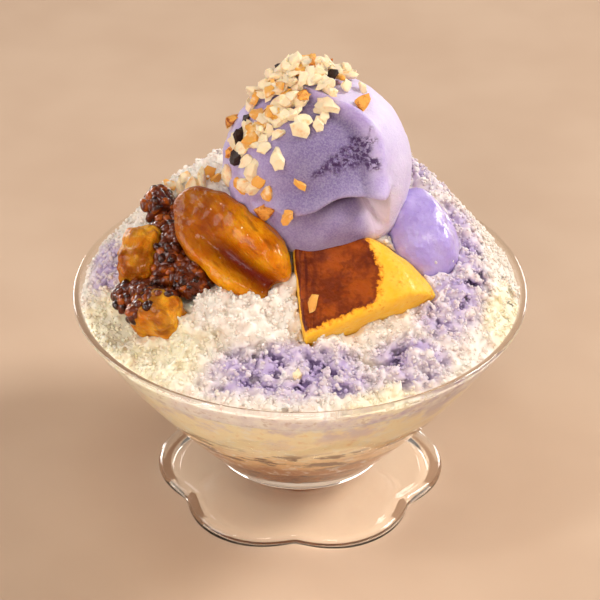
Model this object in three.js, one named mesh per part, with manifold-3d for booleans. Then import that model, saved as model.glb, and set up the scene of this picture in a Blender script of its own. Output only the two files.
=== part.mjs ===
// Halo-halo in its footed glass dish. The glass has a flared bowl on a low foot with six petals. In it
// lie a layer of sweet beans, milky slush and a mound of shaved ice. On the mound stand a wedge of custard
// flan, a slice of candied fruit, two candied chunks under a heap of sweet beans, a lump of purple yam
// jam and a scoop of purple yam ice cream with a heap of crisp rice on top.
// Millimetres, +Z up, the origin on the table at the middle of the foot; -Y is the serving side.
import * as THREE from "three";
import { mergeVertices } from "three/addons/utils/BufferGeometryUtils.js";
import Module from "manifold-3d";

const wasm = await Module();
wasm.setup();

// ---------------------------------------------------------------- driving dimensions
const TURN = 2 * Math.PI;
const GAP = 0.3; // between two pieces that touch

const RIM_RADIUS = 75;
const RIM_HEIGHT = 76;
const LIP_RADIUS = 1.1; // the fire-polished lip
const HEEL_RADIUS = 27.2; // where the bowl turns under
const HEEL_HEIGHT = 11;
const WALL_BOW = 0.22; // how far the wall bows out of a straight cone
const WALL_TOP = 2.3;
const WALL_BOTTOM = 3.8;
const BOWL_FLOOR = 19;
const FLOOR_RADIUS = 25;

const NECK_RADIUS = 21.5;
const NECK_HEIGHT = 7.4;
const FOOT_RADIUS = 49.4; // at the middle of a petal
const PETALS = 6;
const PETAL_TURN = THREE.MathUtils.degToRad(-92.2); // one notch between petals faces the serving side
const PETAL_SHARPNESS = 0.985; // 1 gives a sharp corner between petals
const FOOT_EDGE = 2.3; // radius of the bead around the foot
const FOOT_RECESS = 1.2;

const BEAN_LAYER_TOP = 27;
const SLUSH_TOP = 66;
const ICE_WALL_LEVEL = 73;
const ICE_DOME = 31;
const ICE_LEAN = 0.33; // the mound is higher at the back
const ICE_LEAN_HEADING = THREE.MathUtils.degToRad(62);

const SCOOP_CENTRE = new THREE.Vector3(6, 6, 117.2);
const SCOOP_RADIUS = 30;

const GLASS_SEGMENTS = 7 * PETALS;
const FOOD_SEGMENTS = 32;

// ---------------------------------------------------------------- helpers
const clamp01 = (t) => Math.min(1, Math.max(0, t));
const smooth = (from, to, t) => THREE.MathUtils.smoothstep((t - from) / (to - from), 0, 1);
const bell = (distance, width) => Math.exp(-((distance / width) ** 2));
const signedPower = (t, power) => Math.sign(t) * Math.abs(t) ** power;

// A small wavy unevenness, the same on every run.
function ripple(x, y, z, wavelength) {
  const k = TURN / wavelength;
  return (Math.sin(k * x + 1.3 * Math.sin(k * y * 0.7)) + Math.sin(k * y * 1.1 + 2 * Math.cos(k * z * 0.8))
    + Math.sin(k * z * 0.9 + 1.7 * Math.sin(k * x * 0.6))) / 3;
}

// Moves every vertex of a geometry to where `place` puts it.
function reshape(geometry, place) {
  const position = geometry.attributes.position;
  const v = new THREE.Vector3();
  for (let i = 0; i < position.count; i++) {
    v.fromBufferAttribute(position, i);
    place(v);
    position.setXYZ(i, v.x, v.y, v.z);
  }
  geometry.computeVertexNormals();
  return geometry;
}

// A lathe turned about +Z from a list of [radius, height].
function turned(profile, segments) {
  const points = profile.map(([r, z]) => new THREE.Vector2(r, z));
  return new THREE.LatheGeometry(points, segments).rotateX(Math.PI / 2);
}

// A ball of unit radius with its poles on Z, each vertex moved by `place`.
function lump(columns, rows, place) {
  return reshape(new THREE.SphereGeometry(1, columns, rows).rotateX(Math.PI / 2), place);
}

// A solid through closed outlines of equal point count, from the lowest up, with flat ends.
function lofted(outlines) {
  const count = outlines[0].length;
  const levels = outlines.length - 1;
  const middles = outlines.map((ring) =>
    ring.reduce((sum, p) => sum.add(p), new THREE.Vector3()).divideScalar(count));
  const tube = new THREE.CylinderGeometry(1, 1, 1, count, levels).rotateX(Math.PI / 2);
  return reshape(tube, (v) => {
    const level = Math.round((v.z + 0.5) * levels);
    const index = Math.round((Math.atan2(v.y, v.x) / TURN) * count + count) % count;
    const share = Math.hypot(v.x, v.y);
    v.copy(middles[level]).lerp(outlines[level][index], share);
  });
}

// Geometry in the part's frame to a manifold solid, and back.
function solidOf(geometry, matrix = new THREE.Matrix4()) {
  const bare = new THREE.BufferGeometry();
  bare.setAttribute("position", geometry.attributes.position.clone());
  bare.setIndex(geometry.index);
  const merged = mergeVertices(bare.applyMatrix4(matrix), 1e-3);
  return new wasm.Manifold(new wasm.Mesh({
    numProp: 3,
    vertProperties: merged.attributes.position.array,
    triVerts: new Uint32Array(merged.index.array),
  }));
}

function geometryOf(solid) {
  const mesh = solid.getMesh();
  const geometry = new THREE.BufferGeometry();
  geometry.setAttribute("position", new THREE.BufferAttribute(Float32Array.from(mesh.vertProperties), 3));
  geometry.setIndex(new THREE.BufferAttribute(Uint32Array.from(mesh.triVerts), 1));
  geometry.computeVertexNormals();
  return geometry;
}

// Where a piece stands: its centre, what its own +X runs along and what its own +Z faces.
function pose(centre, along, facing) {
  const z = facing.clone().normalize();
  const x = along.clone().addScaledVector(z, -along.dot(z)).normalize();
  const y = new THREE.Vector3().crossVectors(z, x);
  return new THREE.Matrix4().makeBasis(x, y, z).setPosition(centre);
}

const vec = (x, y, z) => new THREE.Vector3(x, y, z);

// ---------------------------------------------------------------- materials
const finish = (color, roughness, extra = {}) =>
  new THREE.MeshStandardMaterial({ color, roughness, metalness: 0, ...extra });

const materials = {
  glass: finish(0xf2f4f2, 0.04, { transparent: true, opacity: 0.3 }),
  beans: finish(0x5a2614, 0.3),
  slush: finish(0xe6c898, 0.45),
  ice: finish(0xe4dcea, 0.6),
  iceCream: finish(0xb9a2cf, 0.6),
  flan: finish(0xf3b93a, 0.35),
  fruit: finish(0xc9720f, 0.2),
  yam: finish(0xb8a6de, 0.25),
  crisp: finish(0xecc998, 0.75),
};

// ---------------------------------------------------------------- the glass dish
const wallShare = (z) => clamp01((z - HEEL_HEIGHT) / (RIM_HEIGHT - LIP_RADIUS - HEEL_HEIGHT));

function outerWall(z) {
  const t = wallShare(z);
  return HEEL_RADIUS + (RIM_RADIUS - HEEL_RADIUS) * (t + WALL_BOW * t * (1 - t));
}

function innerWall(z) {
  return outerWall(z) - THREE.MathUtils.lerp(WALL_BOTTOM, WALL_TOP, wallShare(z));
}

// The inside of the bowl, [radius, height], from its floor up to the lip.
function insideProfile() {
  const turnUp = BOWL_FLOOR + 3;
  const lipLevel = RIM_HEIGHT - LIP_RADIUS;
  return [
    [FLOOR_RADIUS, BOWL_FLOOR],
    [innerWall(turnUp) - 2.6, BOWL_FLOOR + 1],
    [innerWall(turnUp), turnUp],
    ...Array.from({ length: 4 }, (_, i) => THREE.MathUtils.lerp(turnUp, lipLevel, (i + 1) / 4.5))
      .map((z) => [innerWall(z), z]),
    [RIM_RADIUS - 2 * LIP_RADIUS, lipLevel],
  ];
}

// Points of an arc about (r, z), from one heading to another, in degrees.
function arc(r, z, radius, from, to, steps) {
  return Array.from({ length: steps + 1 }, (_, i) => {
    const a = THREE.MathUtils.degToRad(from + ((to - from) * i) / steps);
    return [r + radius * Math.cos(a), z + radius * Math.sin(a)];
  });
}

const spaced = (from, to, steps) =>
  Array.from({ length: steps }, (_, i) => THREE.MathUtils.lerp(from, to, (i + 0.5) / steps));

function glassProfile() {
  const lipCentre = RIM_RADIUS - LIP_RADIUS;
  const lipLevel = RIM_HEIGHT - LIP_RADIUS;
  const edge = FOOT_RADIUS - FOOT_EDGE;
  return [
    [0, FOOT_RECESS],
    [edge - 5, FOOT_RECESS],
    [edge - 1.6, 0],
    [edge + 0.4, 0],
    ...arc(edge, FOOT_EDGE, FOOT_EDGE, -55, 90, 4),
    [edge - 2.5, 2 * FOOT_EDGE - 0.5],
    [NECK_RADIUS + 9, 5],
    [NECK_RADIUS + 2, 6.1],
    [NECK_RADIUS, NECK_HEIGHT],
    [NECK_RADIUS + 1.2, NECK_HEIGHT + 1],
    [HEEL_RADIUS - 1, HEEL_HEIGHT - 1.7],
    [HEEL_RADIUS, HEEL_HEIGHT],
    ...spaced(HEEL_HEIGHT, lipLevel, 5).map((z) => [outerWall(z), z]),
    ...arc(lipCentre, lipLevel, LIP_RADIUS, 0, 180, 3),
    ...insideProfile().reverse().slice(1),
    [0, BOWL_FLOOR],
  ];
}

// How far out the foot reaches at a heading, as a share of its radius at the middle of a petal.
function petalReach(heading) {
  const swing = Math.cos((PETALS / 2) * heading);
  return Math.cos(Math.asin(PETAL_SHARPNESS * swing) / (PETALS / 2));
}

function dishGeometry() {
  return reshape(turned(glassProfile(), GLASS_SEGMENTS), (v) => {
    const radius = Math.hypot(v.x, v.y);
    const inFoot = v.z < NECK_HEIGHT ? smooth(NECK_RADIUS, FOOT_RADIUS - 8, radius) : 0;
    const share = 1 + (petalReach(Math.atan2(v.y, v.x)) - 1) * inFoot;
    v.x *= share;
    v.y *= share;
  });
}

// ---------------------------------------------------------------- what fills the dish
// The filling's radius at a height: the inside of the bowl less the gap.
function fillRadius(z) {
  const inside = insideProfile();
  const i = Math.max(1, inside.findIndex(([, height]) => height >= z));
  const [[r0, z0], [r1, z1]] = [inside[i - 1], inside[i]];
  return r0 + ((r1 - r0) * (z - z0)) / (z1 - z0) - GAP * 1.3;
}

// The filling's side from one height to another.
function sideProfile(low, high) {
  const between = insideProfile().filter(([, z]) => z > low + 0.5 && z < high - 0.5);
  return [[fillRadius(low), low], ...between.map(([, z]) => [fillRadius(z), z]), [fillRadius(high), high]];
}

function beanLayerRelief(v) {
  return 0.7 * smooth(0, 8, fillRadius(BEAN_LAYER_TOP) - Math.hypot(v.x, v.y)) * ripple(v.x, v.y, 0, 30);
}

// The sweet beans in syrup at the bottom, with an uneven top.
function beanLayerGeometry() {
  const low = BOWL_FLOOR + GAP;
  const profile = [
    [0, low],
    [FLOOR_RADIUS - 0.6, low],
    ...sideProfile(low + 0.3, BEAN_LAYER_TOP),
    ...[0.7, 0.35].map((s) => [s * fillRadius(BEAN_LAYER_TOP), BEAN_LAYER_TOP]),
    [0, BEAN_LAYER_TOP],
  ];
  return reshape(turned(profile, FOOD_SEGMENTS), (v) => {
    if (v.z > BEAN_LAYER_TOP - 0.1) v.z += beanLayerRelief(v);
  });
}

// The milky slush between the beans and the shaved ice.
function slushGeometry() {
  const low = BEAN_LAYER_TOP + GAP;
  const profile = [
    [0, low],
    ...[0.35, 0.7].map((s) => [s * fillRadius(BEAN_LAYER_TOP), low]),
    ...sideProfile(low, SLUSH_TOP),
    [0, SLUSH_TOP],
  ];
  return reshape(turned(profile, FOOD_SEGMENTS), (v) => {
    if (v.z < low + 0.1) v.z += beanLayerRelief(v) + 0.1;
  });
}

// Lumps on the mound and hollows in it: x, y, height, width.
const ICE_LUMPS = [
  [-24, -35, 4, 8],
  [-36, -36, 3, 7],
  [-10, -34, 2, 6],
  [-38, 33, 4, 13],
  [42, -8, -4, 15],
  [30, 42, 2, 14],
  [0, -46, -4, 13],
  [24, -43, -13, 14],
  [43, -32, -5, 10],
  [-50, -18, -3, 16],
];

function iceHeight(x, y) {
  const wall = fillRadius(ICE_WALL_LEVEL);
  const share = Math.min(1, Math.hypot(x, y) / wall);
  const back = x * Math.cos(ICE_LEAN_HEADING) + y * Math.sin(ICE_LEAN_HEADING);
  const inside = 1 - share ** 6;
  const lumps = ICE_LUMPS.reduce((sum, [cx, cy, height, width]) =>
    sum + height * bell(Math.hypot(x - cx, y - cy), width), 0);
  return ICE_WALL_LEVEL + ICE_DOME * (1 - share ** 2.6) + ICE_LEAN * back * (1 - share ** 4)
    + inside * (lumps + 0.9 * ripple(x, y, 0, 15) + 0.5 * ripple(y, x, 3, 7));
}

function iceGeometry() {
  const low = SLUSH_TOP + GAP;
  const wall = fillRadius(ICE_WALL_LEVEL);
  const rings = 12;
  const profile = [
    [0, low],
    ...sideProfile(low, ICE_WALL_LEVEL),
    ...spaced(wall, 0, rings).map((r) => [r, RIM_HEIGHT]),
    [0, RIM_HEIGHT],
  ];
  return reshape(turned(profile, FOOD_SEGMENTS), (v) => {
    if (v.z > ICE_WALL_LEVEL + 1) v.z = iceHeight(v.x, v.y);
  });
}

// ---------------------------------------------------------------- the toppings
// Each maker takes `grow`, an allowance all round, so that the same shape can cut its neighbours.

// The scoop: a ball with a flat face where the spoon broke it off, a lip folded over a pouch on its
// front and a melted skirt at the bottom.
const SCOOP_FACE = new THREE.Vector3(0.17, -0.78, 0.6).normalize();
const FACE_DISTANCE = 0.935; // of the radius
const LIP_POLAR = 1.42; // the lip's angle from straight up

function scoopGeometry(grow = 0) {
  return lump(28, 19, (v) => {
    // More rows of facets go where the lip is.
    const polar = Math.acos(THREE.MathUtils.clamp(v.z, -1, 1));
    const tilt = polar - 0.16 * Math.sin(2 * (polar - LIP_POLAR)) * Math.sin(polar) ** 2;
    const heading = Math.atan2(v.y, v.x);
    const d = vec(Math.sin(tilt) * Math.cos(heading), Math.sin(tilt) * Math.sin(heading), Math.cos(tilt));
    const facing = d.dot(SCOOP_FACE);
    const flat = facing > FACE_DISTANCE ? SCOOP_RADIUS * (1 - FACE_DISTANCE / facing) : 0;
    const front = smooth(-0.25, -0.6, d.y) * smooth(-0.6, -0.2, d.x);
    const under = 0.15 + 0.08 * d.x - 0.25 * d.x * d.x - d.z;
    const lip = front * (4.2 * bell(under - 0.07, 0.075) - 1.1 * bell(under + 0.06, 0.06));
    const pouch = front * bell(under - 0.4, 0.16);
    const skirt = 0.9 * bell(d.z + 0.5, 0.16);
    const rough = 0.4 * ripple(20 * d.x, 20 * d.y, 20 * d.z, 17);
    v.copy(d).multiplyScalar(SCOOP_RADIUS - flat - lip + pouch + skirt + rough + grow);
  });
}

// The heap of crisp rice on the top left of the scoop, before the scoop is cut out of it.
function crispHeapGeometry() {
  return lump(16, 10, (v) => {
    const d = v.clone().normalize();
    const edge = 1 + 0.12 * ripple(9 * d.x, 9 * d.y, 9 * d.z, 7);
    v.set(16 * d.x * edge, 14 * d.y * edge, 8 * d.z * edge);
  });
}

// The flan wedge. Its own XY is the caramel face with the origin at the lower left corner; -Z is its depth.
const FLAN_DEPTH = 15;

function flanOutline(depthShare, grow) {
  // On the moulded side the wedge spreads with depth; the other sides are straight cuts.
  const spread = Math.sqrt(1 - (1 - depthShare) ** 2);
  const right = vec(25 + 19 * spread, 13.5 + 5.5 * spread, 0);
  const top = vec(15 + 4 * spread, 38 + 2 * spread, 0);
  const bulge = vec(33 + 1.5 * spread, 23 + 10.5 * spread, 0);
  const left = vec(-4, 35, 0);
  const corner = vec(0, 0, 0);
  const sides = [
    new THREE.LineCurve3(corner, right),
    new THREE.QuadraticBezierCurve3(right, bulge, top),
    new THREE.LineCurve3(top, left),
    new THREE.LineCurve3(left, corner),
  ];
  const steps = 7;
  const points = sides.flatMap((side) => side.getPoints(steps).slice(0, steps));
  const middle = vec(16, 20, 0);
  return points.map((p, i) => {
    const nearCorner = Math.min(i % steps, steps - (i % steps)) === 0 ? 0.035 : 0;
    p.lerp(middle, nearCorner + 0.008 * Math.sin(i * 2.4));
    const out = p.clone().sub(middle);
    return p.addScaledVector(out.normalize(), grow);
  });
}

function flanGeometry(grow = 0) {
  const levels = [1, 0.6, 0.3, 0.12, 0.04, 0];
  return lofted(levels.map((share) => {
    const roundOver = share < 0.1 ? 0.7 * (0.1 - share) * 10 : 0;
    const z = THREE.MathUtils.lerp(grow, -FLAN_DEPTH - grow, share);
    return flanOutline(share, grow - roundOver).map((p) => p.setZ(z + 0.35 * Math.sin(p.x / 5)));
  }));
}

// The candied fruit slice: its own X runs along it and +Z faces out. A deep crease runs down its face.
const FRUIT_HALF = vec(23.5, 13, 6.5);

function fruitGeometry(grow = 0) {
  return lump(22, 13, (v) => {
    const d = v.clone().normalize();
    const x = signedPower(d.x, 0.72);
    const y = signedPower(d.y, 0.72);
    const z = signedPower(d.z, 0.85);
    const py = FRUIT_HALF.y * (0.95 + 0.1 * x - 0.16 * x * x) * y + 1.2 * Math.sin(2.4 * x);
    const fromCrease = bell(py + 3.2 - 3.8 * x, 4);
    const px = FRUIT_HALF.x * x - 3.4 * fromCrease * smooth(0.3, 1, x);
    const crease = fromCrease * smooth(-14, 4, px);
    const lobe = bell(py - 6 - 0.1 * px, 6.5) * smooth(-10, 8, px);
    const cup = -2.4 * (1 - y * y) * (1 - 0.4 * x * x);
    v.set(px, py, FRUIT_HALF.z * z + cup + Math.max(0, z) * (2.8 * lobe - 4.4 * crease));
    v.addScaledVector(d, grow);
  });
}

// A candied chunk: a block with well rounded, uneven sides.
function chunkGeometry(half, phase, grow = 0) {
  return lump(16, 10, (v) => {
    const d = v.clone().normalize();
    const soft = (t) => signedPower(t, 0.55);
    const uneven = 1 + 0.06 * ripple(d.x * 9 + phase, d.y * 9, d.z * 9, 8);
    v.set(soft(d.x) * half.x, soft(d.y) * half.y, soft(d.z) * half.z).multiplyScalar(uneven);
    v.addScaledVector(d, grow);
  });
}

// The heap of sweet beans over the chunks and against the fruit, as overlapping lobes: centre, half sizes.
const BEAN_LOBES = [
  [vec(0, 0, 0), vec(11, 17, 8)],
  [vec(-5, 20, 2), vec(5.5, 7.5, 6.5)],
  [vec(-9, -15, -1), vec(12, 7.5, 5.5)],
  [vec(7, -11, 0), vec(8, 10, 6)],
];

function beanHeapSolid(matrix, grow = 0) {
  const lobes = BEAN_LOBES.map(([centre, half], index) => lump(12, 8, (v) => {
    const d = v.clone().normalize();
    const uneven = 1 + 0.08 * ripple(d.x * 15, d.y * 22, d.z * 10 + 4 * index, 11);
    v.copy(half).multiply(d).multiplyScalar(uneven).addScaledVector(d, grow).add(centre);
  }));
  return lobes.map((lobe) => solidOf(lobe, matrix)).reduce((a, b) => a.add(b));
}

// The lump of purple yam jam: a smooth spooned egg with a soft ridge along its top.
const YAM_HALF = vec(16.5, 11.5, 10.5);

function yamGeometry(grow = 0) {
  return lump(18, 11, (v) => {
    const d = v.clone().normalize();
    const narrow = 1 - 0.22 * d.x;
    const ridge = 1.6 * bell(d.y + 0.15, 0.28) * clamp01(d.z);
    v.set(signedPower(d.x, 0.85) * YAM_HALF.x, signedPower(d.y, 0.85) * YAM_HALF.y * narrow,
      d.z * YAM_HALF.z * narrow + ridge);
    v.addScaledVector(d, grow);
  });
}

// ---------------------------------------------------------------- places
const places = {
  scoop: pose(SCOOP_CENTRE, vec(1, 0, 0), vec(0, 0, 1)),
  crisp: pose(vec(0, 8, 144), vec(1, 0, 0.2), vec(-0.2, 0.05, 1)),
  flan: pose(vec(1, -48, 84.5), vec(1, 0, 0), vec(-0.03, -0.573, 0.818)),
  fruit: pose(vec(-22.5, -17.5, 102), vec(0.66, -0.58, -0.48), vec(-0.32, -0.7, 0.64)),
  chunkBack: pose(vec(-50, -7, 88.5), vec(0.3, 1, 0.15), vec(-0.35, -0.3, 1)),
  chunkFront: pose(vec(-44.5, -32, 83.5), vec(1, -0.35, 0), vec(-0.3, -0.45, 1)),
  beanHeap: pose(vec(-41, -6, 91), vec(1, -0.1, 0.3), vec(-0.35, -0.3, 1)),
  yam: pose(vec(38.5, -5, 97), vec(-0.25, 0.75, 0.6), vec(0.4, -0.5, 0.75)),
};

const CHUNK_BACK_HALF = vec(10.5, 6.5, 9);
const CHUNK_FRONT_HALF = vec(8.5, 6.5, 7.5);

const makers = {
  scoop: scoopGeometry,
  flan: flanGeometry,
  fruit: fruitGeometry,
  chunkBack: (grow) => chunkGeometry(CHUNK_BACK_HALF, 0, grow),
  chunkFront: (grow) => chunkGeometry(CHUNK_FRONT_HALF, 5, grow),
  yam: yamGeometry,
};

const cutter = (name) => solidOf(makers[name](GAP), places[name]);

// A solid with its neighbours cut away, less any crumb that the cuts leave, in the frame of `matrix`.
function carved(solid, matrix, cutters) {
  const cut = cutters.reduce((rest, tool) => rest.subtract(tool), solid);
  const whole = cut.decompose().reduce((a, b) => (b.volume() > a.volume() ? b : a));
  return geometryOf(whole.simplify(0.22)).applyMatrix4(matrix.clone().invert());
}

const carvedTopping = (name, neighbours) =>
  carved(solidOf(makers[name](0), places[name]), places[name], neighbours.map(cutter));

// ---------------------------------------------------------------- the part
const haloHalo = new THREE.Group();
haloHalo.name = "halo_halo";

function add(parent, name, geometry, material, matrix = new THREE.Matrix4()) {
  const mesh = new THREE.Mesh(geometry, material);
  mesh.name = name;
  matrix.decompose(mesh.position, mesh.quaternion, mesh.scale);
  parent.add(mesh);
}

const fill = new THREE.Group();
const toppings = new THREE.Group();
haloHalo.add(fill, toppings);

const here = new THREE.Matrix4();
const beanHeapRoom = beanHeapSolid(places.beanHeap, GAP);

add(haloHalo, "glass_dish", dishGeometry(), materials.glass, new THREE.Matrix4().makeRotationZ(PETAL_TURN));
add(fill, "bean_layer", beanLayerGeometry(), materials.beans);
add(fill, "milk_slush", slushGeometry(), materials.slush);
add(fill, "ice_heap", carved(solidOf(iceGeometry()), here, [...Object.keys(makers).map(cutter), beanHeapRoom]),
  materials.ice);

add(toppings, "ice_cream_scoop", scoopGeometry(), materials.iceCream, places.scoop);
add(toppings, "flan_wedge", carvedTopping("flan", ["scoop"]), materials.flan, places.flan);
add(toppings, "fruit_slice", carvedTopping("fruit", ["scoop", "flan"]), materials.fruit, places.fruit);
add(toppings, "candied_chunk_back", makers.chunkBack(0), materials.fruit, places.chunkBack);
add(toppings, "candied_chunk_front", makers.chunkFront(0), materials.fruit, places.chunkFront);
add(toppings, "sweet_bean_heap", carved(beanHeapSolid(places.beanHeap), places.beanHeap,
  ["chunkBack", "chunkFront", "fruit"].map(cutter)), materials.beans, places.beanHeap);
add(toppings, "yam_lump", carvedTopping("yam", ["scoop", "flan"]), materials.yam, places.yam);
add(toppings, "crisp_heap", carved(solidOf(crispHeapGeometry(), places.crisp), places.crisp, [cutter("scoop")]),
  materials.crisp, places.crisp);

export default haloHalo;
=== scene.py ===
"""Halo-halo in its footed glass dish: the finished surfaces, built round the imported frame.

Each class below makes one sub-assembly of the dessert: the glass dish, the filling that shows through it, the
mound of shaved ice, the ice cream scoop with its crisp rice, the flan, the candied fruit, the sweet beans and
the purple yam jam. Shapes are worked out in millimetres, and leave for Blender in metres.
"""

import functools
import itertools
import logging
import math
from dataclasses import dataclass, field
from enum import Enum
from typing import Any

import bmesh
import bpy
import numpy as np
from mathutils import Matrix, Quaternion, Vector


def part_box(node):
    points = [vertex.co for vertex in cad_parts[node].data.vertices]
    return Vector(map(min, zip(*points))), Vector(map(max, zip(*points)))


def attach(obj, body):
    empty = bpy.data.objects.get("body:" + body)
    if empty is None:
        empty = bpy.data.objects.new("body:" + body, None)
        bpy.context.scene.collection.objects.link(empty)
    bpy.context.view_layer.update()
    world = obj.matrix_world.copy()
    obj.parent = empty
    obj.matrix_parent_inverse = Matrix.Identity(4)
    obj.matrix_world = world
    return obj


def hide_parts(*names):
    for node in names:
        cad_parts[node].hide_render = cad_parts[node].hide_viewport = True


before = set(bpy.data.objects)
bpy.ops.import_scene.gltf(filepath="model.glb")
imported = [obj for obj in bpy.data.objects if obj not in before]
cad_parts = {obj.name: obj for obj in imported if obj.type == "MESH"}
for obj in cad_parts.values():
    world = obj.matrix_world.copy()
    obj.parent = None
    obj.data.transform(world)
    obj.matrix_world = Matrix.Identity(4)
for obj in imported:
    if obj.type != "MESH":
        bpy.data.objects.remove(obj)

LOG = logging.getLogger("halo_halo")
MM = 0.001
TURN = 2 * math.pi
Triple = tuple[float, float, float]
Paint = tuple[float, float, float, float]


# ------------------------------------------------------------ numbers
def smooth(start: float, end: float, value: np.ndarray) -> np.ndarray:
    """Eases from 0 at start to 1 at end.

    Args:
        start: Where the result is 0.
        end: Where the result is 1; it may lie below start.
        value: What is eased.

    Returns:
        The eased share, held to 0..1.
    """
    share = np.clip((value - start) / (end - start), 0, 1)
    return share * share * (3 - 2 * share)


def bell(distance: np.ndarray, width: float) -> np.ndarray:
    """Returns 1 at distance 0, dying away over the width."""
    return np.exp(-((distance / width) ** 2))


def signed_power(value: np.ndarray, power: float) -> np.ndarray:
    """Returns the value's size to a power, with the value's sign."""
    return np.sign(value) * np.abs(value) ** power


def unit(vectors: np.ndarray) -> np.ndarray:
    """Returns each row at a length of 1."""
    return vectors / np.maximum(np.linalg.norm(vectors, axis=-1, keepdims=True), 1e-9)


def unevenness(points: np.ndarray, wavelength: float, seed: int, octaves: int = 1) -> np.ndarray:
    """Smooth noise in space, the same on every run.

    Args:
        points: Places, one a row.
        wavelength: The size of the largest bumps, in the points' unit.
        seed: Which noise.
        octaves: How many times it is repeated at half the size and half the height.

    Returns:
        A height of about -1 to 1 for each point.
    """
    size = 32
    table = np.random.default_rng(seed).uniform(-1, 1, (size, size, size))
    total = np.zeros(len(points))
    for octave in range(octaves):
        scaled = points / wavelength * 2**octave + 7.3 * octave
        cell = np.floor(scaled).astype(int)
        share = scaled - cell
        share = share * share * (3 - 2 * share)
        for corner in itertools.product((0, 1), repeat=3):
            weight = np.prod(np.where(np.array(corner) == 1, share, 1 - share), axis=1)
            index = (cell + corner) % size
            total += weight * table[index[:, 0], index[:, 1], index[:, 2]] / 2**octave
    return total


def srgb(red: int, green: int, blue: int) -> Paint:
    """Turns a screen colour into the linear colour that shaders take.

    Args:
        red: Red, 0..255.
        green: Green, 0..255.
        blue: Blue, 0..255.

    Returns:
        The linear colour, with an alpha of 1.
    """
    parts = [c / 255 for c in (red, green, blue)]
    linear = [c / 12.92 if c <= 0.04045 else ((c + 0.055) / 1.055) ** 2.4 for c in parts]
    return (*linear, 1.0)


# ------------------------------------------------------------ meshes
def deselect() -> None:
    """Leaves nothing selected, and no mesh in edit mode."""
    if bpy.context.object is not None and bpy.context.object.mode != "OBJECT":
        bpy.ops.object.mode_set(mode="OBJECT")
    bpy.ops.object.select_all(action="DESELECT")


def take(piece: bpy.types.Object) -> None:
    """Selects one piece alone and makes it active.

    Args:
        piece: The piece.
    """
    deselect()
    piece.select_set(True)
    bpy.context.view_layer.objects.active = piece


def apply_modifier(piece: bpy.types.Object, kind: str, **settings: Any) -> None:
    """Adds a modifier to a piece and applies it.

    Args:
        piece: The piece.
        kind: Blender's name for the modifier's type.
        **settings: The modifier's own properties.
    """
    modifier = piece.modifiers.new(kind.lower(), kind)
    for name, value in settings.items():
        setattr(modifier, name, value)
    take(piece)
    bpy.ops.object.modifier_apply(modifier=modifier.name)


def points_of(piece: bpy.types.Object) -> np.ndarray:
    """Reads a piece's vertices.

    Args:
        piece: The piece.

    Returns:
        The vertices in millimetres, one a row.
    """
    flat = np.empty(len(piece.data.vertices) * 3)
    piece.data.vertices.foreach_get("co", flat)
    return flat.reshape(-1, 3) / MM


def normals_of(piece: bpy.types.Object) -> np.ndarray:
    """Reads a piece's vertex normals.

    Args:
        piece: The piece.

    Returns:
        The normals, one a row.
    """
    flat = np.empty(len(piece.data.vertices) * 3)
    piece.data.vertex_normals.foreach_get("vector", flat)
    return flat.reshape(-1, 3)


def set_points(piece: bpy.types.Object, points: np.ndarray) -> None:
    """Puts a piece's vertices at these places, in millimetres."""
    piece.data.vertices.foreach_set("co", (points * MM).astype(np.float32).ravel())
    piece.data.update()


def note(piece: bpy.types.Object, name: str, values: np.ndarray) -> None:
    """Stores one number, or one vector, a vertex for the piece's material to read.

    Args:
        piece: The piece.
        name: The attribute's name.
        values: One number or one row of three for each vertex.
    """
    kind, key = ("FLOAT_VECTOR", "vector") if values.ndim == 2 else ("FLOAT", "value")
    made = piece.data.attributes.new(name, kind, "POINT")
    made.data.foreach_set(key, values.astype(np.float32).ravel())


def new_ball(name: str, fineness: int) -> bpy.types.Object:
    """Adds a geodesic ball of 1 mm radius at the origin.

    Args:
        name: The piece's name.
        fineness: How often its twenty faces are divided.

    Returns:
        The ball.
    """
    deselect()
    bpy.ops.mesh.primitive_ico_sphere_add(subdivisions=fineness, radius=MM, location=(0, 0, 0))
    ball = bpy.context.object
    ball.name = ball.data.name = name
    return ball


def copy_of(node: str, name: str) -> bpy.types.Object:
    """Copies a frame node's mesh, with its doubled vertices merged.

    Args:
        node: The name of the frame node.
        name: The name of the new piece.

    Returns:
        The new piece.
    """
    piece = bpy.data.objects.new(name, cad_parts[node].data.copy())
    bpy.context.scene.collection.objects.link(piece)
    piece.data.materials.clear()
    take(piece)
    bpy.ops.object.mode_set(mode="EDIT")
    bpy.ops.mesh.select_all(action="SELECT")
    bpy.ops.mesh.remove_doubles(threshold=1e-6)
    bpy.ops.object.mode_set(mode="OBJECT")
    return piece


def turned(name: str, profile: list[tuple[float, float]], steps: int) -> bpy.types.Object:
    """Spins an outline of radius and height about +Z into a closed piece.

    Args:
        name: The piece's name.
        profile: Points of (radius, height) in millimetres; it starts and ends on the axis.
        steps: How many faces go round.

    Returns:
        The piece, with its doubles merged and its faces outwards.
    """
    deselect()
    mesh = bpy.data.meshes.new(name)
    rows = [(r * MM, 0.0, z * MM) for r, z in profile]
    mesh.from_pydata(rows, [(i, i + 1) for i in range(len(rows) - 1)], [])
    piece = bpy.data.objects.new(name, mesh)
    bpy.context.scene.collection.objects.link(piece)
    take(piece)
    bpy.ops.object.mode_set(mode="EDIT")
    bpy.ops.mesh.select_all(action="SELECT")
    bpy.ops.mesh.spin(steps=steps, angle=TURN, center=(0, 0, 0), axis=(0, 0, 1))
    bpy.ops.mesh.select_all(action="SELECT")
    bpy.ops.mesh.remove_doubles(threshold=1e-6)
    bpy.ops.mesh.normals_make_consistent(inside=False)
    bpy.ops.object.mode_set(mode="OBJECT")
    return piece


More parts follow.
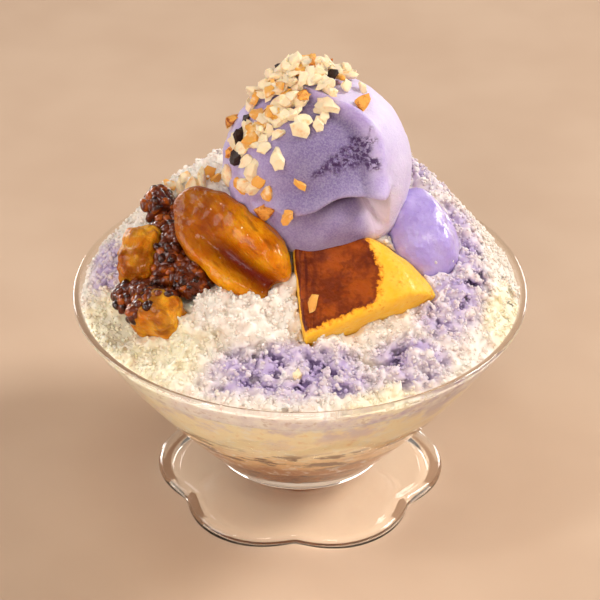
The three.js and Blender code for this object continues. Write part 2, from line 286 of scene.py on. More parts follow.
def settled(points: np.ndarray, node: str) -> np.ndarray:
    """Moves points so that the middle of their box is the middle of a frame node's box."""
    low, high = (np.array(corner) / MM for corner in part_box(node))
    return points + (low + high) / 2 - (points.min(0) + points.max(0)) / 2


def joined(name: str, points: list[np.ndarray], faces: list[np.ndarray]) -> bpy.types.Object:
    """Makes one piece of many small meshes.

    Args:
        name: The piece's name.
        points: Each small mesh's vertices in millimetres.
        faces: Each small mesh's triangles, as rows of its own vertex numbers.

    Returns:
        The piece.
    """
    starts = np.cumsum([0] + [len(p) for p in points[:-1]])
    every_point = np.concatenate(points) * MM
    every_face = np.concatenate([f + start for f, start in zip(faces, starts)])
    mesh = bpy.data.meshes.new(name)
    mesh.from_pydata(every_point.tolist(), [], every_face.tolist())
    piece = bpy.data.objects.new(name, mesh)
    bpy.context.scene.collection.objects.link(piece)
    return piece


def seed_mesh(fineness: int) -> tuple[np.ndarray, np.ndarray]:
    """Makes a geodesic ball of radius 1.

    Args:
        fineness: How many times its triangles are divided.

    Returns:
        Its vertices and its triangles.
    """
    ball = new_ball("seed", fineness)
    points = points_of(ball)
    faces = np.array([list(p.vertices) for p in ball.data.polygons])
    mesh = ball.data
    bpy.data.objects.remove(ball)
    bpy.data.meshes.remove(mesh)
    return points, faces


def frame_of(along: Triple, facing: Triple) -> np.ndarray:
    """Works out a piece's own X, Y and Z axes.

    Args:
        along: What its X runs along, as near as the next allows.
        facing: What its Z faces.

    Returns:
        The axes as the columns of a matrix.
    """
    z = Vector(facing).normalized()
    x = (Vector(along) - z * Vector(along).dot(z)).normalized()
    return np.array([x, z.cross(x), z]).T


def random_turns(count: int, rng: np.random.Generator) -> np.ndarray:
    """Returns that many rotation matrices, spread evenly over all turns."""
    return np.array([Quaternion(row).normalized().to_matrix() for row in rng.normal(size=(count, 4))])


def triangles_of(piece: bpy.types.Object) -> np.ndarray:
    """Reads a piece's triangles.

    Args:
        piece: The piece.

    Returns:
        Rows of three vertex numbers.
    """
    piece.data.calc_loop_triangles()
    flat = np.empty(len(piece.data.loop_triangles) * 3, dtype=np.int32)
    piece.data.loop_triangles.foreach_get("vertices", flat)
    return flat.reshape(-1, 3)


def finish_piece(piece: bpy.types.Object, material: bpy.types.Material, slot: str, *nodes: str,
                 crease: float = 180) -> None:
    """Gives a piece its material, shading and body.

    Args:
        piece: The piece.
        material: What covers it.
        slot: Not used.
        *nodes: The frame nodes that it stands for.
        crease: Edges that turn by more than this many degrees are shaded sharp.
    """
    piece.data.materials.clear()
    piece.data.materials.append(material)
    take(piece)
    if crease < 180:
        bpy.ops.object.shade_smooth_by_angle(angle=math.radians(crease))
    else:
        piece.data.shade_smooth()
    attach(piece, "root")
    if nodes:
        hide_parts(*nodes)
    LOG.info("%s: %d faces, %s", piece.name, len(piece.data.polygons), material.name)


# ------------------------------------------------------------ materials
class Recipe:
    """A material's nodes, built up by short calls that each return a socket. Lengths are millimetres."""

    def __init__(self, name: str) -> None:
        """Starts an empty material.

        Args:
            name: The name of the material.
        """
        self.material = bpy.data.materials.new(name)
        self.material.use_nodes = True
        self.tree = self.material.node_tree
        self.tree.nodes.clear()

    def add(self, kind: str, inputs: dict[Any, Any], **settings: Any) -> bpy.types.Node:
        """Adds one node.

        Args:
            kind: The node's type, without its ShaderNode prefix.
            inputs: A number, colour, vector or socket for each input named or numbered.
            **settings: The node's own properties.

        Returns:
            The node.
        """
        node = self.tree.nodes.new("ShaderNode" + kind)
        for name, value in settings.items():
            setattr(node, name, value)
        for key, value in inputs.items():
            if isinstance(value, bpy.types.NodeSocket):
                self.tree.links.new(value, node.inputs[key])
            else:
                node.inputs[key].default_value = value
        return node

    def place(self) -> bpy.types.NodeSocket:
        """Returns the place on the part, in millimetres."""
        where = self.add("TexCoord", {}).outputs["Object"]
        return self.add("VectorMath", {0: where, "Scale": 1 / MM}, operation="SCALE").outputs[0]

    def own(self, name: str) -> bpy.types.Node:
        """Returns the node that reads a piece's own attribute."""
        return self.add("Attribute", {}, attribute_name=name)

    def split(self, vector: bpy.types.NodeSocket) -> list[bpy.types.NodeSocket]:
        """Returns a vector's three parts."""
        return list(self.add("SeparateXYZ", {0: vector}).outputs)

    def stretch(self, vector: bpy.types.NodeSocket, by: Triple) -> bpy.types.NodeSocket:
        """Returns a vector with each part multiplied."""
        return self.add("VectorMath", {0: vector, 1: by}, operation="MULTIPLY").outputs[0]

    def noise(self, where: bpy.types.NodeSocket, size: float, detail: float = 3,
              rough: float = 0.55) -> bpy.types.NodeSocket:
        """Returns noise of 0..1 whose bumps are about size across."""
        inputs = {"Vector": where, "Scale": 1 / size, "Detail": detail, "Roughness": rough}
        return self.add("TexNoise", inputs).outputs[0]

    def cells(self, where: bpy.types.NodeSocket, size: float) -> bpy.types.NodeSocket:
        """Returns the distance from the middle inside cells about size across."""
        return self.add("TexVoronoi", {"Vector": where, "Scale": 1 / size}).outputs["Distance"]

    def calc(self, operation: str, first: Any, second: Any = 0.0) -> bpy.types.NodeSocket:
        """Returns a sum, product or other result of two numbers."""
        return self.add("Math", {0: first, 1: second}, operation=operation).outputs[0]

    def times(self, *parts: Any) -> bpy.types.NodeSocket:
        """Returns the product of two or more numbers."""
        return functools.reduce(functools.partial(self.calc, "MULTIPLY"), parts)

    def swayed(self, value: Any, noise: bpy.types.NodeSocket, by: float) -> bpy.types.NodeSocket:
        """Returns a number moved up and down by noise of 0..1, over a range of by in all."""
        return self.calc("ADD", value, self.times(self.calc("SUBTRACT", noise, 0.5), by))

    def fit(self, value: bpy.types.NodeSocket, low: float, high: float, to_low: float = 0,
            to_high: float = 1) -> bpy.types.NodeSocket:
        """Eases a number from one range to another, held at the ends."""
        return self.add("MapRange", {0: value, 1: low, 2: high, 3: to_low, 4: to_high},
                        interpolation_type="SMOOTHSTEP").outputs[0]

    def mix(self, share: Any, first: Any, second: Any) -> bpy.types.NodeSocket:
        """Lays the second colour over the first by a share of 0..1."""
        return self.add("Mix", {0: share, 6: first, 7: second}, data_type="RGBA").outputs[2]

    def blot(self, where: bpy.types.NodeSocket, centre: Triple, half: Triple, ragged: bpy.types.NodeSocket,
             ragged_by: float = 0.9) -> bpy.types.NodeSocket:
        """Marks out an ellipsoid with a ragged edge.

        Args:
            where: The place that is tested.
            centre: The middle of the ellipsoid.
            half: Its half sizes.
            ragged: Noise of 0..1 that moves its edge.
            ragged_by: How far, as a share of its size.

        Returns:
            1 inside the ellipsoid, dying away outside it.
        """
        off = self.add("VectorMath", {0: where, 1: centre}, operation="SUBTRACT").outputs[0]
        off = self.add("VectorMath", {0: off, 1: half}, operation="DIVIDE").outputs[0]
        far = self.add("VectorMath", {0: off}, operation="LENGTH").outputs["Value"]
        return self.fit(self.swayed(far, ragged, ragged_by), 1.25, 0.65)

    def bump(self, height: bpy.types.NodeSocket, depth: float,
             over: bpy.types.NodeSocket | None = None) -> bpy.types.NodeSocket:
        """Makes relief for a surface.

        Args:
            height: The relief, 0..1.
            depth: How many millimetres lie between 0 and 1.
            over: Broader relief that this one lies on.

        Returns:
            The normal.
        """
        inputs = {"Height": height, "Distance": depth * MM}
        if over is not None:
            inputs["Normal"] = over
        return self.add("Bump", inputs).outputs[0]

    def cover(self, colour: Any, roughness: Any, normal: bpy.types.NodeSocket | None = None,
              **constants: Any) -> bpy.types.Material:
        """Ends the recipe with a Principled surface.

        Args:
            colour: The base colour.
            roughness: The roughness.
            normal: The relief, if any.
            **constants: Other inputs, with _ for each space in their names.

        Returns:
            The material.
        """
        inputs = {"Base Color": colour, "Roughness": roughness}
        inputs |= {name.replace("_", " "): value for name, value in constants.items()}
        if normal is not None:
            inputs["Normal"] = normal
        shader = self.add("BsdfPrincipled", inputs)
        self.add("OutputMaterial", {"Surface": shader.outputs[0]})
        return self.material


def scatter(weight: float, red: float, green: float, blue: float) -> dict[str, Any]:
    """Returns the inputs for light that spreads under a surface, its reach in millimetres for each colour."""
    return {"Subsurface_Weight": weight, "Subsurface_Radius": (red, green, blue), "Subsurface_Scale": MM}


@dataclass(frozen=True)
class ClearGlass:
    """Clear pressed glass that lets the lamps' light through to what stands behind it."""

    tint: Paint = srgb(250, 251, 250)
    shade: Paint = srgb(243, 241, 238)
    bend: float = 1.5
    name: str = "clear_glass"
    deep_mirrors: bool = False

    def make(self) -> bpy.types.Material:
        """Makes the glass.

        Returns:
            The glass. Without deep mirrors, light that it mirrors once leaves it unbent.
        """
        recipe = Recipe(self.name)
        wave = recipe.noise(recipe.place(), 24, detail=1)
        shader = recipe.add("BsdfPrincipled", {
            "Base Color": self.tint, "Roughness": 0.0, "IOR": self.bend, "Transmission Weight": 1.0,
            "Normal": recipe.bump(wave, 0.35)})
        through = recipe.add("BsdfTransparent", {"Color": self.shade})
        shadow = recipe.add("LightPath", {}).outputs["Is Shadow Ray"]
        if not self.deep_mirrors:
            bounced = recipe.add("LightPath", {}).outputs["Is Glossy Ray"]
            shader = recipe.add("MixShader", {0: bounced, 1: shader.outputs[0], 2: through.outputs[0]})
        both = recipe.add("MixShader", {0: shadow, 1: shader.outputs[0], 2: through.outputs[0]})
        recipe.add("OutputMaterial", {"Surface": both.outputs[0]})
        return recipe.material


@dataclass(frozen=True)
class ShavedIce:
    """Grainy shaved ice: white, with purple stains from the yam and cream ones from the milk."""

    white: Paint = srgb(248, 240, 230)
    dull_white: Paint = srgb(238, 226, 216)
    cream: Paint = srgb(252, 240, 204)
    violet: Paint = srgb(192, 174, 212)
    deep_violet: Paint = srgb(90, 66, 114)
    violet_clots: Paint = srgb(182, 160, 198)
    tan_gaps: Paint = srgb(198, 170, 150)
    name: str = "shaved_ice"
    reach: float = 2.1
    glass_level: float = 73.8
    cream_blots: tuple[tuple[Triple, Triple], ...] = (
        ((66, -22, 76), (10, 16, 9)), ((-54, -38, 77), (28, 32, 13)), ((30, -66, 74), (20, 9, 8)))
    violet_blots: tuple[tuple[Triple, Triple], ...] = (
        ((0, -56, 79), (30, 12, 9)), ((47, -10, 88), (13, 36, 16)), ((-64, 5, 80), (7, 16, 7)),
        ((34, -50, 79), (13, 10, 9)), ((32, 22, 100), (20, 16, 12)), ((-30, 48, 92), (22, 12, 12)))

    def make(self) -> bpy.types.Material:
        """Makes the ice. Light reaches into it by a few millimetres.

        Returns:
            The material.
        """
        recipe = Recipe(self.name)
        where = recipe.place()
        tip = recipe.own("tip").outputs["Fac"]
        ragged = recipe.noise(where, 13, detail=4, rough=0.65)
        fine = recipe.noise(where, 3.2, detail=3)
        colour = recipe.mix(recipe.fit(fine, 0.35, 0.7), self.white, self.dull_white)
        for centre, half in self.cream_blots:
            share = recipe.blot(where, centre, half, ragged)
            colour = recipe.mix(recipe.times(share, 0.6), colour, self.cream)
        stain: Any = 0.0
        for centre, half in self.violet_blots:
            stain = recipe.calc("MAXIMUM", recipe.blot(where, centre, half, ragged), stain)
        broken = recipe.fit(recipe.noise(where, 7, detail=3, rough=0.6), 0.3, 0.6, 0.35, 1)
        stain = recipe.times(stain, broken)
        soaked = recipe.times(stain, recipe.fit(tip, 0.95, 0.45, 0.45, 1))
        colour = recipe.mix(soaked, colour, self.violet)
        pit = recipe.times(recipe.fit(tip, 0.42, 0.12), stain, 0.9)
        colour = recipe.mix(pit, colour, self.deep_violet)
        x, _, height = recipe.split(where)
        pressed = recipe.fit(height, self.glass_level, self.glass_level - 0.8)
        clots = recipe.fit(recipe.noise(where, 6.5, detail=4, rough=0.6), 0.4, 0.7)
        clots = recipe.times(clots, recipe.fit(x, -40, 45, 0.2, 0.8), pressed)
        colour = recipe.mix(clots, colour, self.violet_clots)
        gaps = recipe.fit(recipe.noise(where, 2.6, detail=3, rough=0.65), 0.44, 0.36)
        colour = recipe.mix(recipe.times(gaps, pressed, 0.6), colour, self.tan_gaps)
        relief = recipe.bump(recipe.noise(where, 1.1, detail=1), 0.12)
        return recipe.cover(colour, 0.38, relief, IOR=1.31,
                            **scatter(0.9, self.reach, 0.9 * self.reach, 0.88 * self.reach))


@dataclass(frozen=True)
class MilkySlush:
    """Milk and melting ice pressed against the glass: brown syrup at the bottom, cream higher up."""

    syrup: Paint = srgb(176, 112, 52)
    grain: Paint = srgb(92, 44, 14)
    tan: Paint = srgb(238, 198, 140)
    cream: Paint = srgb(254, 236, 196)
    milk: Paint = srgb(255, 246, 228)
    ice: Paint = srgb(248, 240, 232)
    brown_haze: Paint = srgb(190, 138, 84)
    violet: Paint = srgb(206, 188, 206)
    deep_violet: Paint = srgb(184, 162, 198)
    syrup_line: float = 40

    def make(self) -> bpy.types.Material:
        """Makes the slush.

        Returns:
            The material.
        """
        recipe = Recipe("milky_slush")
        where = recipe.place()
        x, _, height = recipe.split(where)
        cloud = recipe.noise(where, 14, detail=4, rough=0.6)
        clots = recipe.noise(where, 4.5, detail=4, rough=0.65)
        layers = recipe.noise(recipe.stretch(where, (1, 1, 3.2)), 17, detail=4, rough=0.6)
        level = recipe.swayed(height, cloud, 18)
        colour = recipe.mix(recipe.fit(level, 31, 38), self.syrup, self.tan)
        colour = recipe.mix(recipe.fit(level, 37, 50), colour, self.cream)
        colour = recipe.mix(recipe.times(recipe.fit(clots, 0.5, 0.68), 0.8), colour, self.milk)
        colour = recipe.mix(recipe.times(recipe.fit(clots, 0.42, 0.3), 0.6), colour, self.tan)
        high = recipe.times(recipe.fit(level, 52, 66), recipe.fit(cloud, 0.46, 0.6), 0.7)
        colour = recipe.mix(high, colour, self.violet)
        icy = recipe.times(recipe.fit(height, 62, 70), recipe.fit(clots, 0.4, 0.6))
        colour = recipe.mix(icy, colour, self.ice)
        blotch = recipe.fit(recipe.noise(where, 6.5, detail=4), 0.45, 0.65)
        stain = recipe.times(recipe.fit(x, -40, 45, 0.25, 0.9), blotch, recipe.fit(height, 60, 70))
        colour = recipe.mix(stain, colour, self.deep_violet)
        off_line = recipe.calc("ABSOLUTE", recipe.calc("SUBTRACT", height, self.syrup_line))
        streak = recipe.times(recipe.fit(off_line, 10, 3), recipe.fit(layers, 0.51, 0.57), 0.9)
        colour = recipe.mix(streak, colour, self.grain)
        haze = recipe.times(recipe.fit(height, 60, 40), recipe.fit(layers, 0.44, 0.36), 0.45)
        colour = recipe.mix(haze, colour, self.brown_haze)
        relief = recipe.bump(clots, 0.2)
        return recipe.cover(colour, 0.35, relief, IOR=1.33, **scatter(0.45, 3.0, 2.2, 1.4))


@dataclass(frozen=True)
class SweetBean:
    """Sweet beans cooked soft in dark syrup."""

    skin: Paint = srgb(98, 36, 7)
    dark: Paint = srgb(44, 11, 2)
    light: Paint = srgb(170, 84, 20)
    name: str = "sweet_bean"

    def make(self) -> bpy.types.Material:
        """Makes the bean skin under its syrup.

        Returns:
            The material.
        """
        recipe = Recipe(self.name)
        where = recipe.place()
        tint = recipe.own("tint").outputs["Fac"]
        patch = recipe.calc("ADD", recipe.noise(where, 3.4, detail=2), tint)
        colour = recipe.mix(recipe.fit(patch, 0.3, 0.5), self.dark, self.skin)
        colour = recipe.mix(recipe.fit(patch, 0.56, 0.74), colour, self.light)
        wrinkle = recipe.noise(where, 1.3, detail=2)
        return recipe.cover(colour, 0.25, recipe.bump(wrinkle, 0.4), Coat_Weight=0.8, Coat_Roughness=0.04,
                            Specular_IOR_Level=0.15, **scatter(0.3, 1.6, 0.5, 0.2))


@dataclass(frozen=True)
class YamIceCream:
    """Lavender ice cream: satin where the spoon pressed it, icy where it broke, milky where it melts. Its
    colour also holds painted light on the lit right side and along the lip, and painted shade under the lip;
    the pressed face and the left side are darker, partly from their own tone and partly from painted shade.
    """

    body: Paint = srgb(178, 158, 216)
    pale: Paint = srgb(206, 192, 234)
    icy: Paint = srgb(82, 56, 104)
    melt: Paint = srgb(232, 218, 226)
    # Painted light: the paler tint of the lit right side and of the lip's highlight.
    painted_light_tint: Paint = srgb(222, 214, 240)
    # Darker violet of the pressed face and left side: partly their own tone, partly painted shade.
    dense_and_shaded: Paint = srgb(94, 76, 124)
    speck: Paint = srgb(236, 230, 246)
    # Painted shade: the dark line under the folded lip.
    shadow: Paint = srgb(58, 30, 60)

    def make(self) -> bpy.types.Material:
        """Makes the ice cream.

        Returns:
            The material.
        """
        recipe = Recipe("yam_ice_cream")
        where = recipe.place()
        broken, melting, pressed, painted_light, painted_slit_shade = (
            recipe.own(name).outputs["Fac"] for name in ("broken", "melting", "pressed", "painted_light", "painted_slit_shade"))
        soft = recipe.noise(where, 9, detail=4, rough=0.6)
        fine = recipe.noise(where, 0.9, detail=3, rough=0.7)
        crystals = recipe.noise(where, 1.15, detail=2, rough=0.6)
        colour = recipe.mix(recipe.fit(soft, 0.35, 0.7), self.body, self.pale)
        # Painted light: paler on the lit right side beyond the ridge, with a painted highlight along the lip.
        colour = recipe.mix(recipe.times(painted_light, 0.6), colour, self.painted_light_tint)
        # Darker on the pressed face, the pouch and the left side: partly the pressed ice cream's own tone,
        # partly painted shade.
        colour = recipe.mix(recipe.times(pressed, 0.75), colour, self.dense_and_shaded)
        grain = recipe.fit(recipe.noise(where, 0.6, detail=2, rough=0.7), 0.35, 0.65, 0, 0.16)
        colour = recipe.mix(grain, colour, self.speck)
        # Painted shade in the slit just under the folded lip.
        colour = recipe.mix(painted_slit_shade, colour, self.shadow)
        pits = recipe.times(broken, recipe.fit(crystals, 0.6, 0.42))
        colour = recipe.mix(pits, colour, self.icy)
        colour = recipe.mix(recipe.times(melting, 0.8), colour, self.melt)
        roughness = recipe.fit(melting, 0, 1, 0.5, 0.22)
        rubble = recipe.bump(recipe.times(crystals, broken), 0.9)
        relief = recipe.bump(fine, 0.4, over=rubble)
        return recipe.cover(colour, roughness, relief, IOR=1.36, **scatter(0.5, 1.6, 1.1, 1.6))


@dataclass(frozen=True)
class Flan:
    """Baked custard with a caramel face that bleeds over its edge."""

    custard: Paint = srgb(250, 186, 36)
    cut: Paint = srgb(252, 202, 76)
    singed: Paint = srgb(236, 150, 26)
    caramel: Paint = srgb(150, 58, 4)
    dark_caramel: Paint = srgb(114, 42, 0)
    light_caramel: Paint = srgb(162, 74, 4)
    burnt: Paint = srgb(84, 20, 0)

    def make(self) -> bpy.types.Material:
        """Makes the flan.

        Returns:
            The material.
        """
        recipe = Recipe("custard_flan")
        where = recipe.own("own").outputs["Vector"]
        face = recipe.own("caramel").outputs["Fac"]
        soft = recipe.noise(where, 7, detail=4, rough=0.62)
        fine = recipe.noise(where, 1.4, detail=3)
        streaks = recipe.noise(recipe.stretch(where, (1, 0.1, 1)), 1.5, detail=2)
        x = recipe.split(where)[0]
        ragged = recipe.swayed(recipe.swayed(face, soft, 1.5), fine, 0.9)
        glow = recipe.mix(recipe.fit(soft, 0.3, 0.7), self.custard, self.cut)
        orange = recipe.mix(recipe.fit(ragged, 0.1, 0.42), glow, self.singed)
        blotch = recipe.noise(where, 11, detail=4, rough=0.6)
        baked = recipe.mix(recipe.fit(blotch, 0.4, 0.6), self.dark_caramel, self.light_caramel)
        baked = recipe.mix(recipe.fit(fine, 0.52, 0.7, 0, 0.5), baked, self.caramel)
        colour = recipe.mix(recipe.fit(ragged, 0.32, 0.52), orange, baked)
        lines = recipe.times(recipe.fit(x, 11, 4), recipe.fit(streaks, 0.56, 0.42))
        colour = recipe.mix(recipe.times(lines, recipe.fit(ragged, 0.5, 0.7), 0.85), colour, self.burnt)
        edge = recipe.times(recipe.fit(ragged, 0.42, 0.56), recipe.fit(ragged, 0.92, 0.66), 0.5)
        colour = recipe.mix(edge, colour, self.burnt)
        pores = recipe.cells(where, 2.1)
        relief = recipe.bump(pores, 0.14, over=recipe.bump(fine, 0.4))
        return recipe.cover(colour, 0.36, relief, Coat_Weight=0.14, Coat_Roughness=0.12,
                            Specular_IOR_Level=0.18, **scatter(0.45, 3.2, 1.5, 0.4))


@dataclass(frozen=True)
class CandiedFruit:
    """Amber fruit cooked glassy in syrup, darkest down its crease."""

    amber: Paint = srgb(212, 120, 2)
    glow: Paint = srgb(238, 162, 10)
    deep: Paint = srgb(112, 22, 0)
    browned: Paint = srgb(142, 68, 3)
    fibre: Paint = srgb(142, 62, 2)
    name: str = "candied_fruit"

    def make(self) -> bpy.types.Material:
        """Makes the fruit.

        Returns:
            The material.
        """
        recipe = Recipe(self.name)
        where = recipe.own("own").outputs["Vector"]
        crease = recipe.own("crease").outputs["Fac"]
        soft = recipe.noise(where, 8, detail=3)
        fibres = recipe.noise(recipe.stretch(where, (0.22, 1, 1)), 2.2, detail=3)
        colour = recipe.mix(recipe.fit(soft, 0.35, 0.7), self.amber, self.glow)
        colour = recipe.mix(recipe.fit(recipe.split(where)[0], 6, -20, 0, 0.75), colour, self.browned)
        colour = recipe.mix(recipe.fit(fibres, 0.5, 0.7, 0, 0.6), colour, self.fibre)
        colour = recipe.mix(crease, colour, self.deep)
        wrinkle = recipe.noise(where, 2.2, detail=4, rough=0.6)
        relief = recipe.bump(wrinkle, 1.0, over=recipe.bump(fibres, 0.8))
        return recipe.cover(colour, 0.3, relief, Coat_Weight=0.32, Coat_Roughness=0.05,
                            Specular_IOR_Level=0.08, **scatter(0.6, 4.0, 1.6, 0.3))


@dataclass(frozen=True)
class YamJam:
    """Purple yam paste, smooth and wet."""

    body: Paint = srgb(174, 156, 220)
    pale: Paint = srgb(194, 178, 232)

    def make(self) -> bpy.types.Material:
        """Makes the jam.

        Returns:
            The material.
        """
        recipe = Recipe("yam_jam")
        where = recipe.place()
        soft = recipe.noise(where, 7, detail=3)
        fine = recipe.noise(where, 0.8, detail=2, rough=0.7)
        colour = recipe.mix(recipe.fit(soft, 0.35, 0.7), self.body, self.pale)
        relief = recipe.bump(fine, 0.2, over=recipe.bump(recipe.cells(where, 1.7), 0.2))
        return recipe.cover(colour, 0.3, relief, Coat_Weight=0.5, Coat_Roughness=0.09, IOR=1.4,
                            **scatter(0.6, 2.2, 1.6, 2.6))


@dataclass(frozen=True)
class CrispRice:
    """Toasted crisp rice: cream, with golden and brown grains among it."""

    cream: Paint = srgb(252, 230, 194)
    golden: Paint = srgb(240, 172, 76)
    brown: Paint = srgb(170, 84, 14)
    charred: Paint = srgb(44, 22, 14)

    def make(self) -> bpy.types.Material:
        """Makes the crisp rice.

        Returns:
            The material.
        """
        recipe = Recipe("crisp_rice")
        where = recipe.place()
        toasted = recipe.own("toasted").outputs["Fac"]
        soft = recipe.noise(where, 2.4, detail=3)
        shade = recipe.swayed(toasted, soft, 0.9)
        colour = recipe.mix(recipe.fit(shade, 0.3, 0.62), self.cream, self.golden)
        colour = recipe.mix(recipe.fit(shade, 0.8, 1.0), colour, self.brown)
        colour = recipe.mix(recipe.fit(shade, 1.25, 1.35), colour, self.charred)
        fine = recipe.noise(where, 0.7, detail=3, rough=0.7)
        return recipe.cover(colour, 0.7, recipe.bump(fine, 0.3), **scatter(0.35, 1.4, 0.8, 0.4))


@dataclass(frozen=True)
class Tabletop:
    """A plain pale surface under the dish."""

    colour: Paint = srgb(209, 182, 157)
    grain: Paint = srgb(203, 175, 150)

    def make(self) -> bpy.types.Material:
        """Makes the tabletop.

        Returns:
            The material.
        """
        recipe = Recipe("tabletop")
        grain = recipe.noise(recipe.place(), 60, detail=2)
        colour = recipe.mix(recipe.fit(grain, 0.3, 0.7), self.colour, self.grain)
        return recipe.cover(colour, 0.8, Specular_IOR_Level=0.12)


# ------------------------------------------------------------ the glass
@dataclass
class GlassDish:
    """The flared bowl on its six-petal foot. It also says where the inside of its wall is."""

    lip_radius: float = 1.1
    lip_bead: float = 1.25
    heel_radius: float = 27.2
    heel_height: float = 11
    wall_bow: float = 0.22
    wall_top: float = 2.3
    wall_bottom: float = 3.8
    floor_height: float = 19
    floor_radius: float = 25
    neck_radius: float = 21.5
    neck_height: float = 7.4
    foot_radius: float = 49.4
    petals: int = 6
    petal_turn: float = math.radians(-92.2)
    petal_sharpness: float = 0.985
    edge_radius: float = 2.3
    recess: float = 1.2
    heel_bead: float = 0.8
    floor_fillet: float = 8.4
    fillet_rise: float = 1.5
    foot_glass_level: float = 5.9
    steps: int = 240
    rim_radius: float = field(init=False)
    rim_height: float = field(init=False)

    def __post_init__(self) -> None:
        """Takes the rim's height and radius from the frame."""
        low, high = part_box("glass_dish")
        self.rim_height = round(high[2] / MM)
        self.rim_radius = round((high[0] - low[0]) / 2 / MM)

    def wall_share(self, height: np.ndarray | float) -> np.ndarray:
        """Returns how far up the wall a height is, 0 at the heel and 1 at the lip."""
        top = self.rim_height - self.lip_radius
        return np.clip((height - self.heel_height) / (top - self.heel_height), 0, 1)

    def outside(self, height: np.ndarray | float) -> np.ndarray:
        """Returns the wall's outer radius at a height."""
        t = self.wall_share(height)
        return self.heel_radius + (self.rim_radius - self.heel_radius) * (t + self.wall_bow * t * (1 - t))

    def inside(self, height: np.ndarray | float) -> np.ndarray:
        """Works out the wall's inner radius, rounded in to the floor at the bottom.

        Args:
            height: Heights, in millimetres.

        Returns:
            The radius at each height.
        """
        t = self.wall_share(height)
        wall = self.outside(height) - (self.wall_bottom + (self.wall_top - self.wall_bottom) * t)
        above = np.maximum(height - self.floor_height, 0)
        return wall - self.floor_fillet * np.exp(-above / self.fillet_rise)

    def arc(self, r: float, z: float, radius: float, start: float, end: float,
            steps: int) -> list[tuple[float, float]]:
        """Returns an arc of the outline about (r, z), its headings in degrees."""
        headings = np.radians(np.linspace(start, end, steps + 1))
        return [(r + radius * math.cos(a), z + radius * math.sin(a)) for a in headings]

    def outline(self) -> list[tuple[float, float]]:
        """Works out the dish's outline, from the middle of its base, round the outside, to its floor.

        Returns:
            Points of (radius, height), the last in the middle of the floor.
        """
        edge = self.foot_radius - self.edge_radius
        lip_level = self.rim_height - self.lip_bead
        neck, floor = self.neck_radius, self.floor_height
        base = [(0, self.recess), (20, self.recess), (edge - 7, self.recess), (edge - 5, self.recess * 0.8),
                (edge - 3, 0.3), (edge - 1.6, 0), (edge + 0.2, 0)]
        foot_edge = self.arc(edge, self.edge_radius, self.edge_radius, -60, 90, 14)
        dip = 2 * self.edge_radius - 0.75
        foot_top = [(edge - 1.4, 2 * self.edge_radius - 0.25), (edge - 3, dip + 0.1), (edge - 6, dip),
                    (edge - 11, dip + 0.25), (neck + 9, 4.75), (neck + 5, 5.3), (neck + 2.4, 6.1)]
        waist = [(neck + 0.6, 6.8), (neck, self.neck_height), (neck + 0.5, self.neck_height + 0.8),
                 (neck + 2, self.neck_height + 1.5), (neck + 3.2, self.neck_height + 1.7),
                 (self.heel_radius - 1.1, self.heel_height - 1),
                 (self.heel_radius - 0.3, self.heel_height - 0.3)]
        levels = np.concatenate([np.linspace(self.heel_height + 0.4, 16, 12), np.linspace(17, lip_level, 36)])
        ring = self.heel_bead * bell(levels - self.heel_height - 1.7, 1.1)
        wall = [(float(self.outside(z)) + out, float(z)) for z, out in zip(levels, ring)]
        lip = self.arc(self.rim_radius - self.lip_bead, lip_level, self.lip_bead, 10, 175, 14)
        depths = lip_level - (lip_level - floor) * np.linspace(0.02, 1, 60) ** 0.8
        inner = [(float(self.inside(z)), z) for z in depths]
        bottom = [(r, floor) for r in (18, 9, 0)]
        return base + foot_edge + foot_top + waist + wall + lip + inner + bottom

    def petal_reach(self, heading: np.ndarray) -> np.ndarray:
        """Returns how far out the foot reaches at a heading, as a share of its radius."""
        swing = np.cos(self.petals / 2 * (heading - self.petal_turn))
        return np.cos(np.arcsin(self.petal_sharpness * swing) / (self.petals / 2))

    def build(self, glass: bpy.types.Material, foot_glass: bpy.types.Material) -> bpy.types.Object:
        """Makes the dish, its bowl in one glass and its foot in the other.

        Args:
            glass: The bowl's material.
            foot_glass: The foot's material.

        Returns:
            The dish.
        """
        dish = turned("glass_dish_clear", self.outline(), self.steps)
        points = points_of(dish)
        radius = np.hypot(points[:, 0], points[:, 1])
        share = smooth(self.neck_radius, self.foot_radius - 8, radius) * (points[:, 2] < self.neck_height)
        reach = 1 + (self.petal_reach(np.arctan2(points[:, 1], points[:, 0])) - 1) * share
        points[:, :2] *= reach[:, None]
        set_points(dish, points)
        finish_piece(dish, glass, "clear_glass", "glass_dish")
        dish.data.materials.append(foot_glass)
        for face in dish.data.polygons:
            face.material_index = int(face.center.z / MM < self.foot_glass_level)
        return dish


